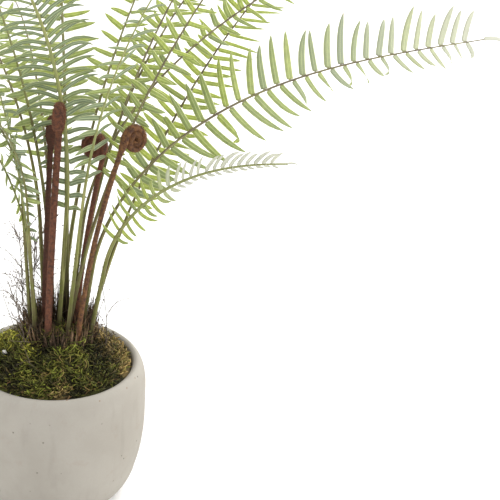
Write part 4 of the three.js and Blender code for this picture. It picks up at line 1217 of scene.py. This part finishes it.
def buildYoungFrond(young, draws, materials):
    # The stem runs up and on round a flat spiral whose radius shrinks evenly with the angle. Hairs stand
    # out from its skin, leaning towards the tip.
    f = youngForm
    heading = np.radians(young["coilHeading"])
    towards = np.array([np.cos(heading), np.sin(heading), 0.0])
    shares = np.linspace(0, 1, f["stemStations"])
    stem = pointsAt(young, stemFoot, shares)
    turn = np.linspace(0, 1, f["coilStations"] + 1)[1:]
    angle = turn * f["turns"] * 2 * np.pi
    radius = f["outer"] + (f["inner"] - f["outer"]) * turn
    coil = stem[-1] + f["outer"] * towards + turned(-towards, f["tall"] * upright, angle) * radius[:, None]
    line = np.concatenate([stem, coil])
    swell = np.clip((shares - 1 + f["neck"]) / f["neck"], 0, 1)
    rise = np.sin(angle) * radius / f["outer"]
    stemHalf = young["stemHalf"]
    (slimThick, fullThick), (outerAcross, innerAcross) = f["halfThick"], f["halfAcross"]
    thick = np.concatenate([stemHalf + (fullThick - stemHalf) * swell,
                            fullThick + (slimThick - fullThick) * rise ** 2])
    across = np.concatenate([stemHalf + (outerAcross - stemHalf) * swell,
                             outerAcross + (innerAcross - outerAcross) * turn])
    along, side, up = framesAlong(line, np.cross(upright, towards))
    skin = ringsRound(line, side, up, thick, across, f["corners"])[None]
    count = f["hairs"]
    at = draws.integers(2, len(line) - 1, count)
    around = draws.uniform(0, 2 * np.pi, count)
    along, side, up, thick, across = along[at], side[at], up[at], thick[at, None], across[at, None]
    roots = line[at] + 0.97 * turned(side * thick, up * across, around)
    roots = roots + along * draws.uniform(-0.002, 0.002, (count, 1))
    out = unit(turned(side / thick, up / across, around))
    lean = out + along * draws.uniform(*f["hairLean"], (count, 1))
    lean = unit(lean + f["hairTousle"] * draws.normal(size=(count, 3)))
    reach = lean * draws.uniform(*f["hairLength"], (count, 1))
    longShare, longer = f["longHairs"]
    reach = reach * np.where(draws.uniform(0, 1, (count, 1)) < longShare, longer, 1)
    halves = draws.uniform(*f["hairHalf"], (count, 1)) * np.array([1.0, 0.15])
    hairs = roundTubes(straightLines(roots, reach, [0.0, 1.0]), halves, 3, draws)
    amber = young["amber"]
    parts = [tubePart(skin, tone=amber), tubePart(hairs, np.array([[0.2], [1.0]]), tone=amber)]
    addPiece("fine_" + young["name"], parts, materials, young["name"])


def fuzzMaterial():
    # Rust-brown or amber fuzz: dark at the skin, brighter and more orange at the tips of the hairs, which is
    # painted rim light.
    fuzz = Finish("fuzz")
    colours = youngForm
    along, amber = fuzz.trait("along"), fuzz.trait("tone")
    patch = fuzz.noise(330.0, 4.0)
    skin = fuzz.layer(colours["rust"], colours["amber"], amber)
    rimLitTips = fuzz.layer(colours["light"], colours["amberLight"], amber)
    colour = fuzz.layer(colours["dark"], skin, fuzz.between(patch, 0.3, 0.7))
    # painted rim light: brighter, more orange hair tips
    colour = fuzz.layer(colour, rimLitTips, fuzz.between(along, 0.3, 1.0), 0.55)
    colour = fuzz.layer(colour, colours["dark"], fuzz.between(amber, 0.0, -1.0), 0.6)
    return fuzz.surface({
        "Base Color": colour,
        "Roughness": 0.85,
        "Sheen Weight": 0.12,
        "Sheen Roughness": 0.4,
        "Sheen Tint": colours["sheen"],
        "Normal": fuzz.bump(patch, 0.8, 0.001),
    })


twigColumns = ("name", "x", "y", "heading", "leanLow", "leanHigh", "length", "branches", "spread")
twigRows = (
    ("dry_twig_1", -0.030, 0.009, 110, 1, 8, 0.142, 30, 28),
    ("dry_twig_2", -0.021, 0.023, 85, 2, 10, 0.132, 28, 32),
    ("dry_twig_3", -0.026, -0.019, -150, 1, 20, 0.116, 14, 30),
    ("dry_twig_4", 0.045, -0.003, -20, 14, -10, 0.080, 7, 24),
    ("dry_twig_5", -0.010, 0.028, 75, 2, 10, 0.128, 22, 32),
)

twigForm = {
    "foot": 0.132,
    "half": 0.00056,
    "stemStations": 24,
    "branchStations": 6,
    "branchLength": (0.014, 0.056),
    "branchHalf": (0.55, 0.85),  # shares of the stem's
    "branchBend": (0, 60),      # degrees: middle and spread
    "shootsEach": 2,            # side shoots on each branch
    "shootLength": (0.25, 0.6),  # shares of the branch's
    "shootHalf": 0.55,
    "shootBend": (20, 30),
    "budHalf": (0.00030, 0.00065),
    "budAlong": (-0.6, 0.2, 1.3, 2.4, 3.0),  # places on its spine, in its own half widths
    "budOutline": (0.25, 0.75, 1.0, 0.6, 0.08),
    "seed": 44,
    "dark": (0.075, 0.056, 0.040),
    "brown": (0.250, 0.180, 0.120),
}


def bentLines(roots, direction, sideways, lengths, bend):
    # Each line sets off in its direction and turns evenly towards its sideways vector.
    stations = np.linspace(0, 1, twigForm["branchStations"])[:-1]
    ways = turned(direction[:, None], sideways[:, None], bend[:, None] * stations)
    return walk(roots, ways, lengths)


def squareTo(directions, draws):
    # A direction drawn at random, square to each one given.
    return unit(np.cross(directions, draws.normal(size=directions.shape)))


def buildTwig(twig, draws, materials):
    # A thin stem, branches that leave it all round and bend, side shoots on the branches, and a bud at
    # each end.
    f = twigForm
    shares = np.linspace(0, 1, f["stemStations"])
    _, side, up = framesAt(twig, shares)
    half = f["half"] * (1 - 0.5 * shares)
    stem = ringsRound(pointsAt(twig, f["foot"], shares), side, up, half, half, 6)[None]
    slimmer = 1 - 0.3 * np.linspace(0, 1, f["branchStations"])
    count = twig["branches"]
    place = 0.12 + 0.86 * draws.uniform(0, 1, count) ** 1.4
    along, side, up = framesAt(twig, place)
    out = turned(side, up, draws.uniform(0, 2 * np.pi, count))
    direction = turned(along, out, np.radians(twig["spread"] + draws.normal(0, 10, count)))
    sideways = squareTo(direction, draws)
    lengths = draws.uniform(*f["branchLength"], count) * (1.2 - 0.5 * place)
    bend = np.radians(draws.normal(*f["branchBend"], count))
    lines = bentLines(pointsAt(twig, f["foot"], place), direction, sideways, lengths, bend)
    halves = f["half"] * draws.uniform(*f["branchHalf"], (count, 1)) * slimmer
    branches = roundTubes(lines, halves, 4, draws)
    parts = [tubePart(stem, tone=0.3), tubePart(branches, tone=byTube(draws.uniform(0, 1, count)))]
    # side shoots
    owner = np.repeat(np.arange(count), f["shootsEach"])
    station = draws.integers(1, f["branchStations"] - 1, len(owner))
    roots = lines[owner, station]
    onwards = unit(lines[owner, station + 1] - roots)
    sideways = squareTo(onwards, draws)
    lengths = lengths[owner] * draws.uniform(*f["shootLength"], len(owner))
    bend = np.radians(draws.normal(*f["shootBend"], len(owner)))
    shoots = bentLines(roots, unit(onwards + 0.7 * sideways), sideways, lengths, bend)
    halves = f["half"] * f["shootHalf"] * slimmer * np.ones((len(owner), 1))
    rings = roundTubes(shoots, halves, 3, draws)
    parts.append(tubePart(rings, tone=byTube(draws.uniform(0, 1, len(owner)))))
    # buds: small spindles at the ends
    ends = np.concatenate([lines[:, -1], shoots[:, -1]])
    ways = unit(ends - np.concatenate([lines[:, -2], shoots[:, -2]]))
    bud = draws.uniform(*f["budHalf"], (len(ends), 1))
    spines = straightLines(ends, ways * bud, f["budAlong"])
    rings = roundTubes(spines, bud * np.array(f["budOutline"]), 5, draws)
    parts.append(tubePart(rings, tone=byTube(draws.uniform(0, 0.6, len(ends)))))
    addPiece("fine_" + twig["name"], parts, materials, twig["name"])


def twigMaterial():
    # Nearly black bark with brown flecks.
    bark = Finish("twig")
    flecks = bark.times(bark.between(bark.noise(420.0, 3.0), 0.35, 0.7), bark.trait("tone"))
    colour = bark.layer(twigForm["dark"], twigForm["brown"], flecks)
    return bark.surface({"Base Color": colour, "Roughness": 0.75})


def buildEach(named, build, columns, rows, seed, materials):
    # One piece for each row of a table, all from one set of draws.
    draws = np.random.default_rng(seed)
    for row in rows:
        build(dict(zip(columns, row)), draws, materials)
    print(named, "built:", len(rows))


def buildFloor():
    # A flat square just under the pot's foot.
    half, low = studio["floorHalf"], -studio["floorDrop"]
    mesh = bpy.data.meshes.new("floor")
    corners = [(-half, -half, low), (half, -half, low), (half, half, low), (-half, half, low)]
    mesh.from_pydata(corners, [], [(0, 1, 2, 3)])
    floor = bpy.data.objects.new("floor", mesh)
    bpy.context.collection.objects.link(floor)
    mesh.materials.append(Finish("floor").surface({"Base Color": studio["floorColour"], "Roughness": 0.9}))
    print("floor laid")


placeCamera()
placeLights()
buildFloor()
buildPot()
dressSoil()
buildMoss()
buildCrown()
frondFinishes = [stemMaterial(), leafMaterial(), scaleMaterial()]
buildEach("fronds", buildFrond, frondColumns, frondRows, frondForm["seed"], frondFinishes)
buildEach("young fronds", buildYoungFrond, youngColumns, youngRows, youngForm["seed"], [fuzzMaterial()])
buildEach("twigs", buildTwig, twigColumns, twigRows, twigForm["seed"], [twigMaterial()])
